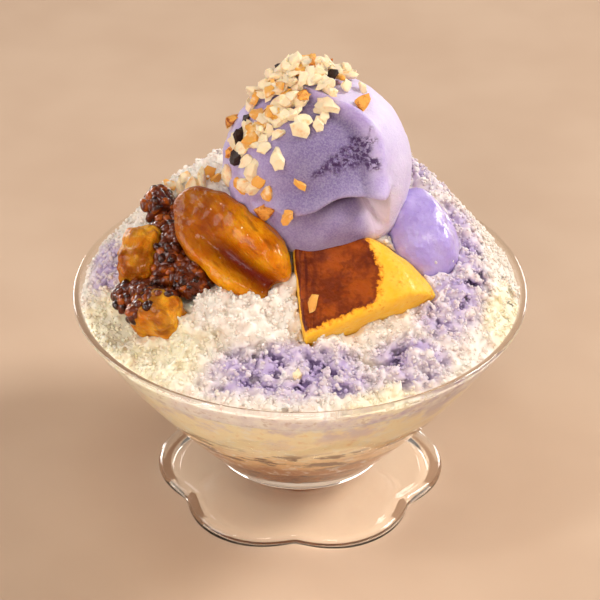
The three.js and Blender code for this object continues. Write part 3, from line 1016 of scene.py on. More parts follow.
# ------------------------------------------------------------ the filling
@dataclass
class Filling:
    """What shows through the glass: slush over a layer of sweet beans. Both reach just into the wall."""

    dish: GlassDish
    into_wall: float = 0.2
    steps: int = 200
    bean_count: int = 90
    bean_half: Triple = (3.6, 2.6, 2.3)

    def side(self, low: float, high: float, rows: int) -> list[tuple[float, float]]:
        """Returns the outline of the filling's side between two heights."""
        return [(float(self.dish.inside(z)) + self.into_wall, z) for z in np.linspace(low, high, rows)]

    def build_slush(self, finish: bpy.types.Material) -> bpy.types.Object:
        """Makes the slush from the beans up to the shaved ice.

        Args:
            finish: Its material.

        Returns:
            The slush.
        """
        low, high = (corner[2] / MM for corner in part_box("milk_slush"))
        top = high + 0.3
        outline = [(0, low), (12, low), (24, low), *self.side(low, top, 60), (40, top), (0, top)]
        slush = turned("milk_slush_wet", outline, self.steps)
        finish_piece(slush, finish, "milky_slush", "milk_slush")
        return slush

    def build_beans(self, syrup: bpy.types.Material) -> bpy.types.Object:
        """Makes the bean layer: a syrup-filled core with beans pressed against the glass.

        Args:
            syrup: Its material.

        Returns:
            The layer.
        """
        low, high = (corner[2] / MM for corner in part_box("bean_layer"))
        low, top = self.dish.floor_height - self.into_wall, high - 0.2
        outline = [(0, low), (14, low), *self.side(low + 0.05, top, 24), (20, top), (0, top)]
        layer = turned("bean_layer_syrup", outline, self.steps)
        points, faces = seed_mesh(2)
        rng = np.random.default_rng(5)
        clumps, corners = [points_of(layer)], [triangles_of(layer)]
        for index, turn in enumerate(random_turns(self.bean_count, rng)):
            heading = index * TURN * 0.618
            height = rng.uniform(low + 2.6, high + 1.5)
            bean = (points * self.bean_half) @ turn.T
            reach = float(self.dish.inside(height)) + 0.35 - bean[:, 0].max()
            spot = np.array([reach, 0, height]) + bean
            c, s = math.cos(heading), math.sin(heading)
            clumps.append(spot @ np.array([[c, s, 0], [-s, c, 0], [0, 0, 1]]))
            corners.append(faces)
        mesh = layer.data
        bpy.data.objects.remove(layer)
        bpy.data.meshes.remove(mesh)
        beans = joined("bean_layer_syrup", clumps, corners)
        finish_piece(beans, syrup, "sweet_bean", "bean_layer")
        return beans


# ------------------------------------------------------------ the ice
@dataclass
class IceMound:
    """The heap of shaved ice: a clumped core that fills the bowl's mouth, with loose crystals on it."""

    dish: GlassDish
    clump_count: int = 640
    balls_each: int = 7
    ball_radius: tuple[float, float] = (1.2, 2.2)
    grains_each: int = 26
    grain_radius: tuple[float, float] = (0.55, 1.0)
    spread: float = 1.9
    ridge: tuple[tuple[float, float, float, float], ...] = (
        (-22, -38, 3.4, 6.5), (-33, -37, 3.0, 5.5), (-11, -37, 2.6, 5.5), (-3, -41, 1.2, 5.0),
        (38, -44, 2.0, 8.0))
    voxel: float = 0.66
    kept_share: float = 0.6
    grid_side: int = 160
    grid_passes: int = 9
    tip_height: float = 4.5
    crystal_count: int = 7500
    crystal_radius: tuple[float, float] = (0.35, 0.85)
    toppings: tuple[str, ...] = ("ice_cream_scoop", "flan_wedge", "fruit_slice", "candied_chunk_back",
                                 "candied_chunk_front", "sweet_bean_heap", "yam_lump")

    def is_open(self, spot: np.ndarray, normal: np.ndarray) -> bool:
        """Tells whether no topping lies on the ice at a place.

        Args:
            spot: The place, in millimetres.
            normal: Which way is out there.

        Returns:
            Whether the place is open.
        """
        start, out = Vector(spot * MM), Vector(normal)
        nodes = [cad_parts[name] for name in self.toppings]
        return not any(node.ray_cast(start, out, distance=6 * MM)[0] for node in nodes)

    def surface_spots(self, piece: bpy.types.Object, count: int,
                      rng: np.random.Generator) -> tuple[np.ndarray, np.ndarray]:
        """Picks places on the open top of a mesh, evenly by area.

        Args:
            piece: The mesh.
            count: How many places.
            rng: Where the chance comes from.

        Returns:
            The places and the normals there, one a row, in millimetres.
        """
        corners = points_of(piece)[triangles_of(piece)]
        across = np.cross(corners[:, 1] - corners[:, 0], corners[:, 2] - corners[:, 0])
        area = np.linalg.norm(across, axis=1)
        normal = across / np.maximum(area, 1e-9)[:, None]
        middle = corners.mean(1)
        wall = self.dish.inside(middle[:, 2]) - np.hypot(middle[:, 0], middle[:, 1])
        open_top = (normal[:, 2] > -0.1) & (middle[:, 2] > self.dish.rim_height - 4) & (wall > 0.3)
        chosen = rng.choice(len(area), 2 * count, p=area * open_top / (area * open_top).sum())
        u, v = rng.random((2, 2 * count))
        u, v = np.where(u + v > 1, (1 - u, 1 - v), (u, v))
        a, b, c = corners[chosen].transpose(1, 0, 2)
        spots = a + u[:, None] * (b - a) + v[:, None] * (c - a)
        clear = [i for i in range(2 * count) if self.is_open(spots[i], normal[chosen[i]])][:count]
        return spots[clear], normal[chosen][clear]

    def build(self, finish: bpy.types.Material, grain: bpy.types.Material) -> list[bpy.types.Object]:
        """Makes the core and the loose crystals.

        Args:
            finish: The core's material.
            grain: The crystals' material.

        Returns:
            The core and the crystals.
        """
        rng = np.random.default_rng(11)
        core = copy_of("ice_heap", "ice_heap_clumped")
        clumps = self.build_clumps(core, rng)
        take(core)
        clumps.select_set(True)
        bpy.ops.object.join()
        apply_modifier(core, "REMESH", mode="VOXEL", voxel_size=self.voxel * MM)
        apply_modifier(core, "DECIMATE", ratio=self.kept_share)
        self.flatten_base(core)
        self.fit_to_wall(core)
        level = self.level_map(core)
        note(core, "tip", self.tip(points_of(core), level))
        finish_piece(core, finish, "shaved_ice", "ice_heap")
        return [core, self.build_crystals(core, level, grain, rng)]

    def build_clumps(self, core: bpy.types.Object, rng: np.random.Generator) -> bpy.types.Object:
        """Makes the clumps of rounded ice that cover the mound, as one mesh.

        Args:
            core: The mound that they lie on.
            rng: The random draws.

        Returns:
            The clumps.
        """
        spots, normals = self.surface_spots(core, self.clump_count, rng)
        lift = sum(h * np.exp(-((spots[:, 0] - x) ** 2 + (spots[:, 1] - y) ** 2) / w**2)
                   for x, y, h, w in self.ridge)
        lumps = (seed_mesh(2), self.balls_each, self.ball_radius, 1.0, 0.55)
        grains = (seed_mesh(1), self.grains_each, self.grain_radius, 1.25, 0.2)
        points, corners = [], []
        for spot, normal, raised in zip(spots, normals, lift):
            heap = rng.uniform(0.2, 1.6)
            for (ball, faces), count, (small, large), reach, flat in (lumps, grains):
                for _ in range(count):
                    off = rng.normal(size=3) * self.spread * reach
                    off += normal * (heap * rng.uniform(-0.6, 0.6) - off @ normal * flat)
                    off[2] += raised * rng.random()
                    centre = spot + off
                    room = float(self.dish.inside(centre[2])) - math.hypot(centre[0], centre[1])
                    if room > 0.5 and centre[2] > self.dish.rim_height - 6:
                        radius = min(small + (large - small) * rng.random() ** 1.8, room)
                        points.append(centre + radius * ball * rng.uniform(0.8, 1.2, 3))
                        corners.append(faces)
        return joined("clumps", points, corners)

    def level_map(self, core: bpy.types.Object) -> np.ndarray:
        """Works out the mound's height on a 1 mm grid, smoothed over its clumps.

        Args:
            core: The mound.

        Returns:
            The height, by row and column.
        """
        points = points_of(core)
        top = points[points[:, 2] > self.dish.rim_height - 6]
        grid = np.full((self.grid_side, self.grid_side), self.dish.rim_height - 3.0)
        np.maximum.at(grid, self.cell_of(top), top[:, 2])
        for _ in range(self.grid_passes):
            for axis in (0, 1):
                grid = (np.roll(grid, 1, axis) + grid + np.roll(grid, -1, axis)) / 3
        return grid

    def cell_of(self, points: np.ndarray) -> tuple[np.ndarray, np.ndarray]:
        """Returns the row and the column of the level map that each point lies in."""
        cell = np.clip((points[:, :2] + self.grid_side / 2).astype(int), 0, self.grid_side - 1)
        return cell[:, 0], cell[:, 1]

    def tip(self, points: np.ndarray, level: np.ndarray) -> np.ndarray:
        """Returns 1 on the tips of clumps, 0 down between them and about 0.5 level with the mound."""
        return np.clip(0.55 + (points[:, 2] - level[self.cell_of(points)]) / self.tip_height, 0, 1)

    def flatten_base(self, core: bpy.types.Object) -> None:
        """Makes the hidden flat base of the core one face.

        Args:
            core: The core.
        """
        low = float(points_of(core)[:, 2].min())
        mesh = bmesh.new()
        mesh.from_mesh(core.data)
        base = [f for f in mesh.faces if f.normal.z < -0.9 and f.calc_center_median().z / MM < low + 1]
        bmesh.ops.dissolve_faces(mesh, faces=base, use_verts=True)
        mesh.to_mesh(core.data)
        mesh.free()

    def fit_to_wall(self, core: bpy.types.Object) -> None:
        """Presses the core's side just into the glass, so that no air shows between them.

        Args:
            core: The core.
        """
        points = points_of(core)
        radius = np.hypot(points[:, 0], points[:, 1])
        wall = self.dish.inside(points[:, 2]) + 0.2
        low = smooth(self.dish.rim_height - 1.0, self.dish.rim_height - 2.2, points[:, 2])
        near = smooth(3.2, 1.2, wall - radius) * low
        pressed = np.minimum(radius, wall) + np.maximum(wall - radius, 0) * near
        points[:, :2] *= (pressed / np.maximum(radius, 1e-6))[:, None]
        brim = self.dish.rim_height - 2.3 + 1.3 * np.maximum(self.dish.inside(points[:, 2]) - pressed, 0)
        points[:, 2] = np.minimum(points[:, 2], brim)
        set_points(core, points)

    def build_crystals(self, core: bpy.types.Object, level: np.ndarray, finish: bpy.types.Material,
                       rng: np.random.Generator) -> bpy.types.Object:
        """Makes loose ice crystals that lie on the core.

        Args:
            core: The core.
            level: The mound's height on a 1 mm grid.
            finish: Their material.
            rng: The random draws.

        Returns:
            The crystals, as one piece.
        """
        spots, normals = self.surface_spots(core, self.crystal_count, rng)
        ball, faces = seed_mesh(1)
        small, large = self.crystal_radius
        count = len(spots)
        radii = small + (large - small) * rng.random(count) ** 2
        turns = random_turns(count, rng)
        crystals = [spot + normal * radius * 0.4 + radius * (ball * rng.uniform(0.65, 1.3, 3)) @ turn.T
                    for spot, normal, radius, turn in zip(spots, normals, radii, turns)]
        piece = joined("ice_crystals", crystals, [faces] * count)
        note(piece, "tip", np.clip(self.tip(points_of(piece), level) + 0.1, 0, 1))
        finish_piece(piece, finish, "shaved_ice")
        return piece


# ------------------------------------------------------------ the scoop
@dataclass
class IceCreamScoop:
    """The yam ice cream ball: its broken face, the lip folded over a pouch and the melting skirt."""

    towards: Triple = (0, -0.842, 0.539)
    lip_overhang: float = 4.9
    fineness: int = 7
    centre: np.ndarray = field(init=False)
    radius: float = field(init=False)

    def __post_init__(self) -> None:
        """Takes the ball's middle and radius from the frame."""
        low, high = (np.array(corner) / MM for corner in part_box("ice_cream_scoop"))
        self.centre = (low + high) / 2
        self.radius = float((high - low).mean()) / 2

    def across(self, d: np.ndarray) -> tuple[np.ndarray, np.ndarray, np.ndarray]:
        """Works out how each direction lies, seen from the serving side.

        Args:
            d: Directions from the middle, one a row.

        Returns:
            How far right, how far up and how far forward each one points.
        """
        toward = np.array(self.towards)
        up = d @ np.array([0, toward[2], -toward[1]])
        return d[:, 0], up, d @ toward

    def from_ridge(self, d: np.ndarray) -> np.ndarray:
        """Returns how far left of the ridge, where the spoon's cut ends, each direction lies."""
        right, up, _ = self.across(d)
        return 0.6 - 1.36 * np.maximum(up + 0.1, 0) ** 3 - right + 0.012 * unevenness(d, 0.12, 5)

    def below_lip(self, d: np.ndarray) -> np.ndarray:
        """Returns how far under the folded lip each direction lies."""
        right, up, _ = self.across(d)
        return -0.375 + 0.11 * np.tanh((right - 0.05) / 0.18) - up + 0.012 * unevenness(d, 0.2, 3)

    def shape(self, d: np.ndarray) -> np.ndarray:
        """Works out the surface's distance from the middle.

        Args:
            d: Directions from the middle, one a row.

        Returns:
            The distance in each direction.
        """
        right, up, forward = self.across(d)
        front = smooth(0.15, 0.45, forward)
        left_of = self.from_ridge(d)
        below = self.below_lip(d)
        cut = front * smooth(-0.02, 0.13, left_of) * smooth(-0.85, 0.25, right) * smooth(0.1, -0.04, below)
        cut = 3.6 * cut * smooth(0.95, 0.5, up)
        crest = 1.5 * front * bell(left_of + 0.05, 0.06) * smooth(0.05, -0.1, below)
        slot = front * smooth(-0.005, 0.035, below) * smooth(0.5, 0.06, below) * smooth(0.74, 0.66, right)
        slot *= smooth(-0.75, -0.3, right) * (3.2 + 7.8 * smooth(0.0, 0.65, right))
        roll = 1.9 * front * bell(below + 0.045, 0.042) * smooth(-0.6, -0.3, right) * smooth(0.8, 0.6, right)
        pouch = 1.5 * front * bell(below - 0.36, 0.15) * bell(right + 0.05, 0.5)
        skirt = 1.1 * bell(d[:, 2] + 0.5, 0.14) * (1 + 0.5 * unevenness(d, 0.25, 8))
        soft = 0.45 * unevenness(d, 0.5, 1, 2) + 0.1 * unevenness(d, 0.08, 2, 2)
        soft += 1.3 * smooth(-0.4, -0.75, right) * unevenness(d, 0.2, 12, 2)
        crumbly = self.broken(d) * (0.5 * unevenness(d, 0.045, 4, 2) - 0.35)
        return self.radius - cut + crest - slot + roll + pouch + skirt + soft + crumbly

    def broken(self, d: np.ndarray) -> np.ndarray:
        """Works out how icy and rough the surface is: a ragged patch that widens to the ridge.

        Args:
            d: Directions from the middle, one a row.

        Returns:
            1 in the patch and 0 outside it, for each direction.
        """
        right, up, forward = self.across(d)
        edge = 0.07 * unevenness(d, 0.1, 6, 3)
        top = np.interp(right, [-0.15, -0.086, 0.258, 0.54, 0.7], [-0.24, -0.18, 0.16, 0.29, 0.32])
        low = np.interp(right, [-0.15, -0.075, 0.258, 0.7], [-0.26, -0.226, -0.118, -0.09])
        inside = smooth(-0.035, 0.035, top - up + edge) * smooth(-0.035, 0.035, up - low + edge)
        left_of_ridge = smooth(0.0, 0.06, self.from_ridge(d) + edge)
        return inside * smooth(-0.12, -0.05, right) * left_of_ridge * (forward > 0)

    def build(self, finish: bpy.types.Material) -> bpy.types.Object:
        """Makes the ball.

        Args:
            finish: Its material.

        Returns:
            The ball.
        """
        ball = new_ball("ice_cream_ball", self.fineness)
        d = unit(points_of(ball))
        right, up, forward = self.across(d)
        front = smooth(0.15, 0.45, forward)
        below, left_of = self.below_lip(d), self.from_ridge(d)
        fold = front * bell(below + 0.035, 0.05) * smooth(-0.6, -0.3, right) * smooth(0.8, 0.62, right)
        down = np.array([0, self.towards[2], -self.towards[1]]) * -self.lip_overhang
        set_points(ball, self.centre + d * self.shape(d)[:, None] + down * fold[:, None])
        note(ball, "broken", self.broken(d))
        # Mask for the darker face, pouch and left side: partly the pressed ice cream's own tone, partly
        # painted shade.
        pressed = smooth(0.0, 0.1, left_of) * smooth(0.1, 0.4, forward) * smooth(-1.1, -0.1, right)
        note(ball, "pressed", pressed * (smooth(0.06, -0.1, below) + 0.7 * smooth(0.06, 0.12, below)))
        wander = unevenness(d, 0.2, 9)
        dripping = 0.8 * smooth(0.42, 0.62, right) * smooth(-0.22, -0.42, up + 0.05 * wander)
        skirt = smooth(-0.46, -0.62, d[:, 2] + 0.06 * wander)
        note(ball, "melting", np.maximum(skirt, dripping * smooth(0.0, 0.3, forward)))
        # Painted light: a painted highlight along the top of the folded lip, and a paler lit band right of
        # the ridge.
        lip = 0.55 * bell(below + 0.03, 0.035) * smooth(-0.5, 0.0, right) * front
        note(ball, "painted_light", np.maximum(smooth(0.0, -0.2, left_of) * smooth(-0.3, 0.1, forward), lip))
        # Painted shade: a dark band just below the folded lip.
        painted_slit_shade = bell(below - 0.165, 0.065) * smooth(-0.35, 0.3, right) * smooth(0.78, 0.7, right)
        note(ball, "painted_slit_shade", painted_slit_shade * front)
        finish_piece(ball, finish, "yam_ice_cream", "ice_cream_scoop")
        return ball

    def on_surface(self, directions: np.ndarray) -> np.ndarray:
        """Returns the points of the ball's surface in these directions."""
        d = unit(directions)
        return self.centre + d * self.shape(d)[:, None]


@dataclass
class CrispTopping:
    """The crisp rice heaped on the ball's top left, with loose grains down its side."""

    scoop: IceCreamScoop
    heap_count: int = 112
    stray_count: int = 32
    half: Triple = (3.1, 2.3, 1.6)
    kinds: int = 7
    chips: int = 11
    sizes: tuple[float, float] = (0.75, 1.35)
    heap_spread: float = 0.42
    crest_lift: float = 6.8
    trail_toward: Triple = (-0.6, -0.48, 0.64)
    trail_spread: Triple = (0.24, 0.14, 0.24)
    heaped_shades: tuple[float, ...] = (0.1, 0.3, 0.6, 0.85, 1.6)
    fallen_shades: tuple[float, ...] = (0.35, 0.65, 0.5, 0.9, 0.2)
    shade_odds: tuple[float, ...] = (0.4, 0.28, 0.16, 0.09, 0.07)
    fallen_at: tuple[Triple, ...] = (
        (4, -38.6, 92), (-0.9, -61.1, 80), (-14.2, -8.6, 116), (-9.5, -10.2, 114), (-11.6, -17.3, 113),
        (-3.8, -16.5, 110), (-27.9, 6.9, 112), (-22.9, 3.3, 114), (-32.5, 7.8, 110), (-35.8, 8, 108),
        (-39.9, 10.7, 105), (-38.4, 15.4, 108), (-43.5, 15.8, 104), (-30.9, 10.2, 112), (0, -10.9, 118),
        (-19.2, -0.8, 113), (-16.5, -6, 115), (-12, -6, 116))

    def grain_shapes(self) -> list[np.ndarray]:
        """Makes a few puffed, dented grains.

        Returns:
            Each grain as vertices round the origin.
        """
        ball, _ = seed_mesh(2)
        rng = np.random.default_rng(29)
        shapes = []
        for kind in range(self.kinds):
            grain = 1.2 * ball
            for _ in range(self.chips):
                heading = rng.uniform(0, TURN)
                cut = unit(np.array([math.cos(heading), math.sin(heading), rng.normal() * 0.45]))
                grain = grain - np.maximum(grain @ cut - rng.uniform(0.5, 0.95), 0)[:, None] * cut
            for side in (-1, 1):
                cut = unit(np.array([rng.normal() * 0.2, rng.normal() * 0.2, side]))
                grain = grain - np.maximum(grain @ cut - 0.7, 0)[:, None] * cut
            dents = 1 + 0.26 * unevenness(ball, 0.45, 20 + kind, 2)
            shapes.append(grain * dents[:, None] * self.half)
        return shapes

    def spots(self, rng: np.random.Generator) -> tuple[np.ndarray, np.ndarray]:
        """Picks where each grain lies.

        Args:
            rng: Where the chance comes from.

        Returns:
            The place of each grain and which way is out there.
        """
        low, high = (np.array(corner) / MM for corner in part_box("crisp_heap"))
        middle = unit((low + high) / 2 - self.scoop.centre + (0, -1.6, 0))
        half_angle = math.asin((high[0] - low[0]) / 2 / self.scoop.radius)
        heap = unit(middle + rng.normal(size=(self.heap_count, 3)) * self.heap_spread * math.tan(half_angle))
        crest = np.exp(-((np.linalg.norm(heap - middle, axis=1) / (0.62 * half_angle)) ** 2))
        lift = rng.uniform(0.1, 1, self.heap_count) * crest * self.crest_lift + 0.9
        trail = unit(self.trail_toward + rng.normal(size=(self.stray_count, 3)) * self.trail_spread)
        trail = trail[((trail[:, 0] < -0.2) & (trail[:, 2] > 0.22)) | (trail[:, 2] > 0.78)]
        directions = np.concatenate([heap, trail])
        lift = np.concatenate([lift, rng.uniform(-0.4, 0.8, len(trail))])
        return self.scoop.on_surface(directions) + directions * lift[:, None], directions

    def fallen(self) -> tuple[np.ndarray, np.ndarray]:
        """Works out where grains that fell off the ball lie.

        Returns:
            The places, and which way is out there.
        """
        spots, out = [], []
        bpy.context.view_layer.update()
        depsgraph = bpy.context.evaluated_depsgraph_get()
        toward = Vector(self.scoop.towards)
        for near in self.fallen_at:
            start = Vector(near) * MM + toward * 0.03
            hit, place, normal, *_ = bpy.context.scene.ray_cast(depsgraph, start, -toward)
            if hit:
                spots.append(np.array(place) / MM + (0, 0, 0.4))
                out.append(np.array(normal))
        return np.array(spots), np.array(out)

    def build(self, finish: bpy.types.Material) -> list[bpy.types.Object]:
        """Makes the grains.

        Args:
            finish: Its material.

        Returns:
            The grains, as one piece.
        """
        rng = np.random.default_rng(23)
        shapes = self.grain_shapes()
        _, faces = seed_mesh(2)
        spots, out = self.spots(rng)
        heaped = len(spots)
        fallen, fallen_out = self.fallen()
        spots, out = np.concatenate([spots, fallen]), np.concatenate([out, fallen_out])
        grains, toasted = [], []
        for index, (spot, normal) in enumerate(zip(spots, out)):
            along = rng.normal(size=3)
            lean = unit(normal + rng.normal(size=3) * 0.45)
            axes = frame_of(tuple(along), tuple(lean))
            size = rng.uniform(*self.sizes)
            grains.append(spot + size * shapes[index % self.kinds] @ axes.T)
            shades = self.heaped_shades if index < heaped else self.fallen_shades
            toasted.append(np.full(len(shapes[0]), rng.choice(shades, p=self.shade_odds)))
        piece = joined("crisp_rice_grains", grains, [faces] * len(grains))
        note(piece, "toasted", np.concatenate(toasted))
        finish_piece(piece, finish, "crisp_rice", "crisp_heap", crease=38)
        return [piece]


# ------------------------------------------------------------ the toppings
@dataclass
class FlanWedge:
    """The wedge of flan, rounded a little at its cut corners."""

    along: Triple = (1, 0, 0)
    facing: Triple = (-0.03, -0.573, 0.818)
    voxel: float = 0.55

    def build(self, finish: bpy.types.Material) -> bpy.types.Object:
        """Makes the flan.

        Args:
            finish: Its material.

        Returns:
            The flan.
        """
        flan = copy_of("flan_wedge", "flan_custard")
        apply_modifier(flan, "REMESH", mode="VOXEL", voxel_size=self.voxel * MM)
        apply_modifier(flan, "SMOOTH", factor=0.5, iterations=14)
        axes = frame_of(self.along, self.facing)
        points = points_of(flan)
        own = points @ axes
        own -= (own[:, 0].min(), own[:, 1].min(), own[:, 2].max())
        normals = normals_of(flan)
        faces_up = normals @ axes[:, 2]
        moved = points + normals * (0.22 * unevenness(own, 6, 31, 2))[:, None]
        set_points(flan, moved)
        rim = 25.5 - 0.02 * (own[:, 1] - 18) ** 2
        over_rim = own[:, 0] - rim
        caramel = smooth(0.35, 0.9, faces_up) * smooth(5.5, -3.5, over_rim)
        caramel *= smooth(-1.0, 5.5, own[:, 1] - 0.45 * own[:, 0] + 1.5)
        note(flan, "own", own)
        note(flan, "caramel", caramel)
        finish_piece(flan, finish, "custard_flan", "flan_wedge")
        return flan


@dataclass
class FruitSlice:
    """The candied slice: a cupped slab with a crease that runs out at one end between two lobes."""

    half: Triple = (23.5, 13, 6.5)
    along: Triple = (0.66, -0.58, -0.48)
    facing: Triple = (-0.32, -0.7, 0.64)
    fineness: int = 6

    def build(self, finish: bpy.types.Material) -> bpy.types.Object:
        """Makes the slice.

        Args:
            finish: Its material.

        Returns:
            The slice.
        """
        fruit = new_ball("candied_slice", self.fineness)
        d = unit(points_of(fruit))
        x, y, z = signed_power(d[:, 0], 0.72), signed_power(d[:, 1], 0.72), signed_power(d[:, 2], 0.85)
        py = self.half[1] * (0.95 + 0.1 * x - 0.16 * x * x) * y + 1.2 * np.sin(2.4 * x)
        from_crease = bell(py + 3.2 - 3.8 * x, 4)
        px = self.half[0] * x - 3.4 * from_crease * smooth(0.3, 1, x)
        crease = from_crease * smooth(-14, 4, px)
        lobe = bell(py - 6 - 0.1 * px, 6.5) * smooth(-10, 8, px)
        cup = -2.4 * (1 - y * y) * (1 - 0.4 * x * x)
        pz = self.half[2] * z + cup + np.maximum(0, z) * (2.8 * lobe - 4.4 * crease)
        own = np.stack([px, py, pz], axis=1)
        own += d * (0.6 * unevenness(own, 6, 41, 2) + 0.2 * unevenness(own, 2.6, 42, 2))[:, None]
        set_points(fruit, settled(own @ frame_of(self.along, self.facing).T, "fruit_slice"))
        note(fruit, "own", own)
        stained = 0.45 * smooth(0.1, -0.5, x) * smooth(-0.1, 0.5, unevenness(own, 5, 43, 3))
        note(fruit, "crease", np.clip((crease + stained) * smooth(-0.1, 0.1, z), 0, 1))
        finish_piece(fruit, finish, "candied_fruit", "fruit_slice")
        return fruit


@dataclass
class CandiedChunk:
    """One candied chunk, a block with well rounded, sugary sides."""

    node: str
    half: Triple
    along: Triple
    facing: Triple
    seed: int
    fineness: int = 6

    def build(self, finish: bpy.types.Material) -> bpy.types.Object:
        """Makes the chunk.

        Args:
            finish: Its material.

        Returns:
            The chunk.
        """
        chunk = new_ball(self.node + "_glazed", self.fineness)
        d = unit(points_of(chunk))
        own = signed_power(d, 0.55) * self.half
        lumps = 0.9 * unevenness(own, 5, self.seed, 2) + 0.55 * unevenness(own, 2.4, self.seed + 5, 2)
        own += d * lumps[:, None]
        set_points(chunk, settled(own @ frame_of(self.along, self.facing).T, self.node))
        note(chunk, "own", own)
        note(chunk, "crease", 0.55 * smooth(-0.1, 0.6, unevenness(own, 5, self.seed + 1, 3)))
        finish_piece(chunk, finish, "candied_fruit", self.node)
        return chunk


@dataclass
class BeanHeap:
    """Sweet beans heaped over the chunks: a mass glazed together with syrup, and whole beans on it."""

    chunk: bpy.types.Object
    bedded: int = 460
    loose: int = 200
    half: Triple = (2.25, 1.6, 1.45)
    core_voxel: float = 0.6
    voxel: float = 0.4
    sunk: float = 1.3

    def build(self, finish: bpy.types.Material) -> list[bpy.types.Object]:
        """Makes the glazed mass and the whole beans.

        Args:
            finish: Their material.

        Returns:
            The mass and the beans.
        """
        core = copy_of("sweet_bean_heap", "sweet_bean_glazed")
        apply_modifier(core, "REMESH", mode="VOXEL", voxel_size=self.core_voxel * MM)
        apply_modifier(core, "SMOOTH", factor=0.5, iterations=8)
        points, normals = points_of(core), normals_of(core)
        relief = 0.5 * unevenness(points, 2.6, 51, 2) - self.sunk
        set_points(core, points + normals * relief[:, None])
        points, normals = self.with_chunk_top(points, normals)
        rng = np.random.default_rng(53)
        bedded = joined("bedded", *self.beans(points, normals, self.bedded, (0.7, 1.7), rng))
        take(core)
        bedded.select_set(True)
        bpy.ops.object.join()
        apply_modifier(core, "REMESH", mode="VOXEL", voxel_size=self.voxel * MM)
        apply_modifier(core, "SMOOTH", factor=0.5, iterations=2)
        finish_piece(core, finish, "sweet_bean", "sweet_bean_heap")
        shapes, faces = self.beans(points, normals, self.loose, (0.2, 0.9), rng)
        loose = joined("sweet_beans_whole", shapes, faces)
        note(loose, "tint", np.repeat(rng.uniform(-0.2, 0.22, len(shapes)), len(shapes[0])))
        finish_piece(loose, finish, "sweet_bean")
        return [core, loose]

    def with_chunk_top(self, points: np.ndarray, normals: np.ndarray) -> tuple[np.ndarray, np.ndarray]:
        """Adds the upper back of the front chunk to the places where beans lie.

        Args:
            points: The places so far, one a row.
            normals: Which way is out at each one.

        Returns:
            The places and the ways out, with those on the chunk.
        """
        top, out = points_of(self.chunk), normals_of(self.chunk)
        middle = (top.min(0) + top.max(0)) / 2
        covered = ((top - middle) @ (-0.35, 0.6, 0.3) > 1.2) & (out[:, 2] > 0.0)
        return np.concatenate([points, top[covered]]), np.concatenate([normals, out[covered]])

    def beans(self, points: np.ndarray, normals: np.ndarray, count: int, depth: tuple[float, float],
              rng: np.random.Generator) -> tuple[list[np.ndarray], list[np.ndarray]]:
        """Beds beans in a surface, none nearer to another than its own width.

        Args:
            points: Places on the surface.
            normals: Which way is out at each.
            count: How many beans at most.
            depth: How deep the middle of a bean may lie, least and most.
            rng: Where the chance comes from.

        Returns:
            The vertices and the faces of each bean.
        """
        chosen: list[int] = []
        apart = self.half[1] * 1.25
        for index in rng.permutation(np.flatnonzero(normals[:, 2] > -0.2)):
            if len(chosen) >= count:
                break
            if not chosen or np.linalg.norm(points[chosen] - points[index], axis=1).min() > apart:
                chosen.append(int(index))
        ball, faces = seed_mesh(2)
        kidney = (ball + 0.1 * unevenness(ball, 0.8, 57)[:, None] * ball) * self.half
        kidney[:, 1] += 0.5 * (ball[:, 0] ** 2 - 0.4)
        shapes = []
        for index in chosen:
            lean = unit(normals[index] + rng.normal(size=3) * 0.5)
            axes = frame_of(tuple(rng.normal(size=3)), tuple(lean))
            middle = points[index] - normals[index] * rng.uniform(*depth)
            shapes.append(middle + rng.uniform(0.7, 1.15) * kidney @ axes.T)
        return shapes, [faces] * len(shapes)


@dataclass
class YamLump:
    """The spooned lump of purple yam jam."""

    half: Triple = (16.5, 11.5, 10.5)
    along: Triple = (-0.25, 0.75, 0.6)
    facing: Triple = (0.4, -0.5, 0.75)
    fineness: int = 6

    def build(self, finish: bpy.types.Material) -> bpy.types.Object:
        """Makes the lump.

        Args:
            finish: Its material.

        Returns:
            The lump.
        """
        lump = new_ball("yam_jam_lump", self.fineness)
        d = unit(points_of(lump))
        narrow = 1 - 0.22 * d[:, 0]
        ridge = 1.6 * bell(d[:, 1] + 0.15, 0.28) * np.clip(d[:, 2], 0, 1)
        own = np.stack([signed_power(d[:, 0], 0.85) * self.half[0],
                        signed_power(d[:, 1], 0.85) * self.half[1] * narrow,
                        d[:, 2] * self.half[2] * narrow + ridge], axis=1)
        own += d * (0.5 * unevenness(own, 6, 61, 2) + 0.22 * unevenness(own, 2.2, 62, 2))[:, None]
        set_points(lump, settled(own @ frame_of(self.along, self.facing).T, "yam_lump"))
        finish_piece(lump, finish, "yam_jam", "yam_lump")
        return lump


# ------------------------------------------------------------ the studio
class Shine(Enum):
    """Whether a lamp lights matt surfaces, shows in glossy ones, or does both; all show through glass."""

    NONE = "lights only"
    FULL = "lights and shows"
    ONLY = "shows in gloss and glass"
    GLASS = "shows through glass"


@dataclass(frozen=True)
class Lamp:
    """A square soft lamp aimed at the dessert. Its place and side are metres, and its power watts."""

    name: str
    place: Triple
    side: float
    power: float
    tint: Triple
    shine: Shine

    def hang(self, target: Vector) -> None:
        """Adds the lamp to the scene.

        Args:
            target: What it is aimed at, in metres.
        """
        lamp = bpy.data.lights.new(self.name, "AREA")
        lamp.size, lamp.energy, lamp.color = self.side, self.power, self.tint
        holder = bpy.data.objects.new(self.name, lamp)
        holder.visible_diffuse = self.shine in (Shine.NONE, Shine.FULL)
        holder.visible_glossy = self.shine in (Shine.FULL, Shine.ONLY)
        holder.visible_camera = False
        bpy.context.scene.collection.objects.link(holder)
        turn = (target - Vector(self.place)).to_track_quat("-Z", "Y").to_matrix().to_4x4()
        holder.matrix_world = Matrix.Translation(self.place) @ turn


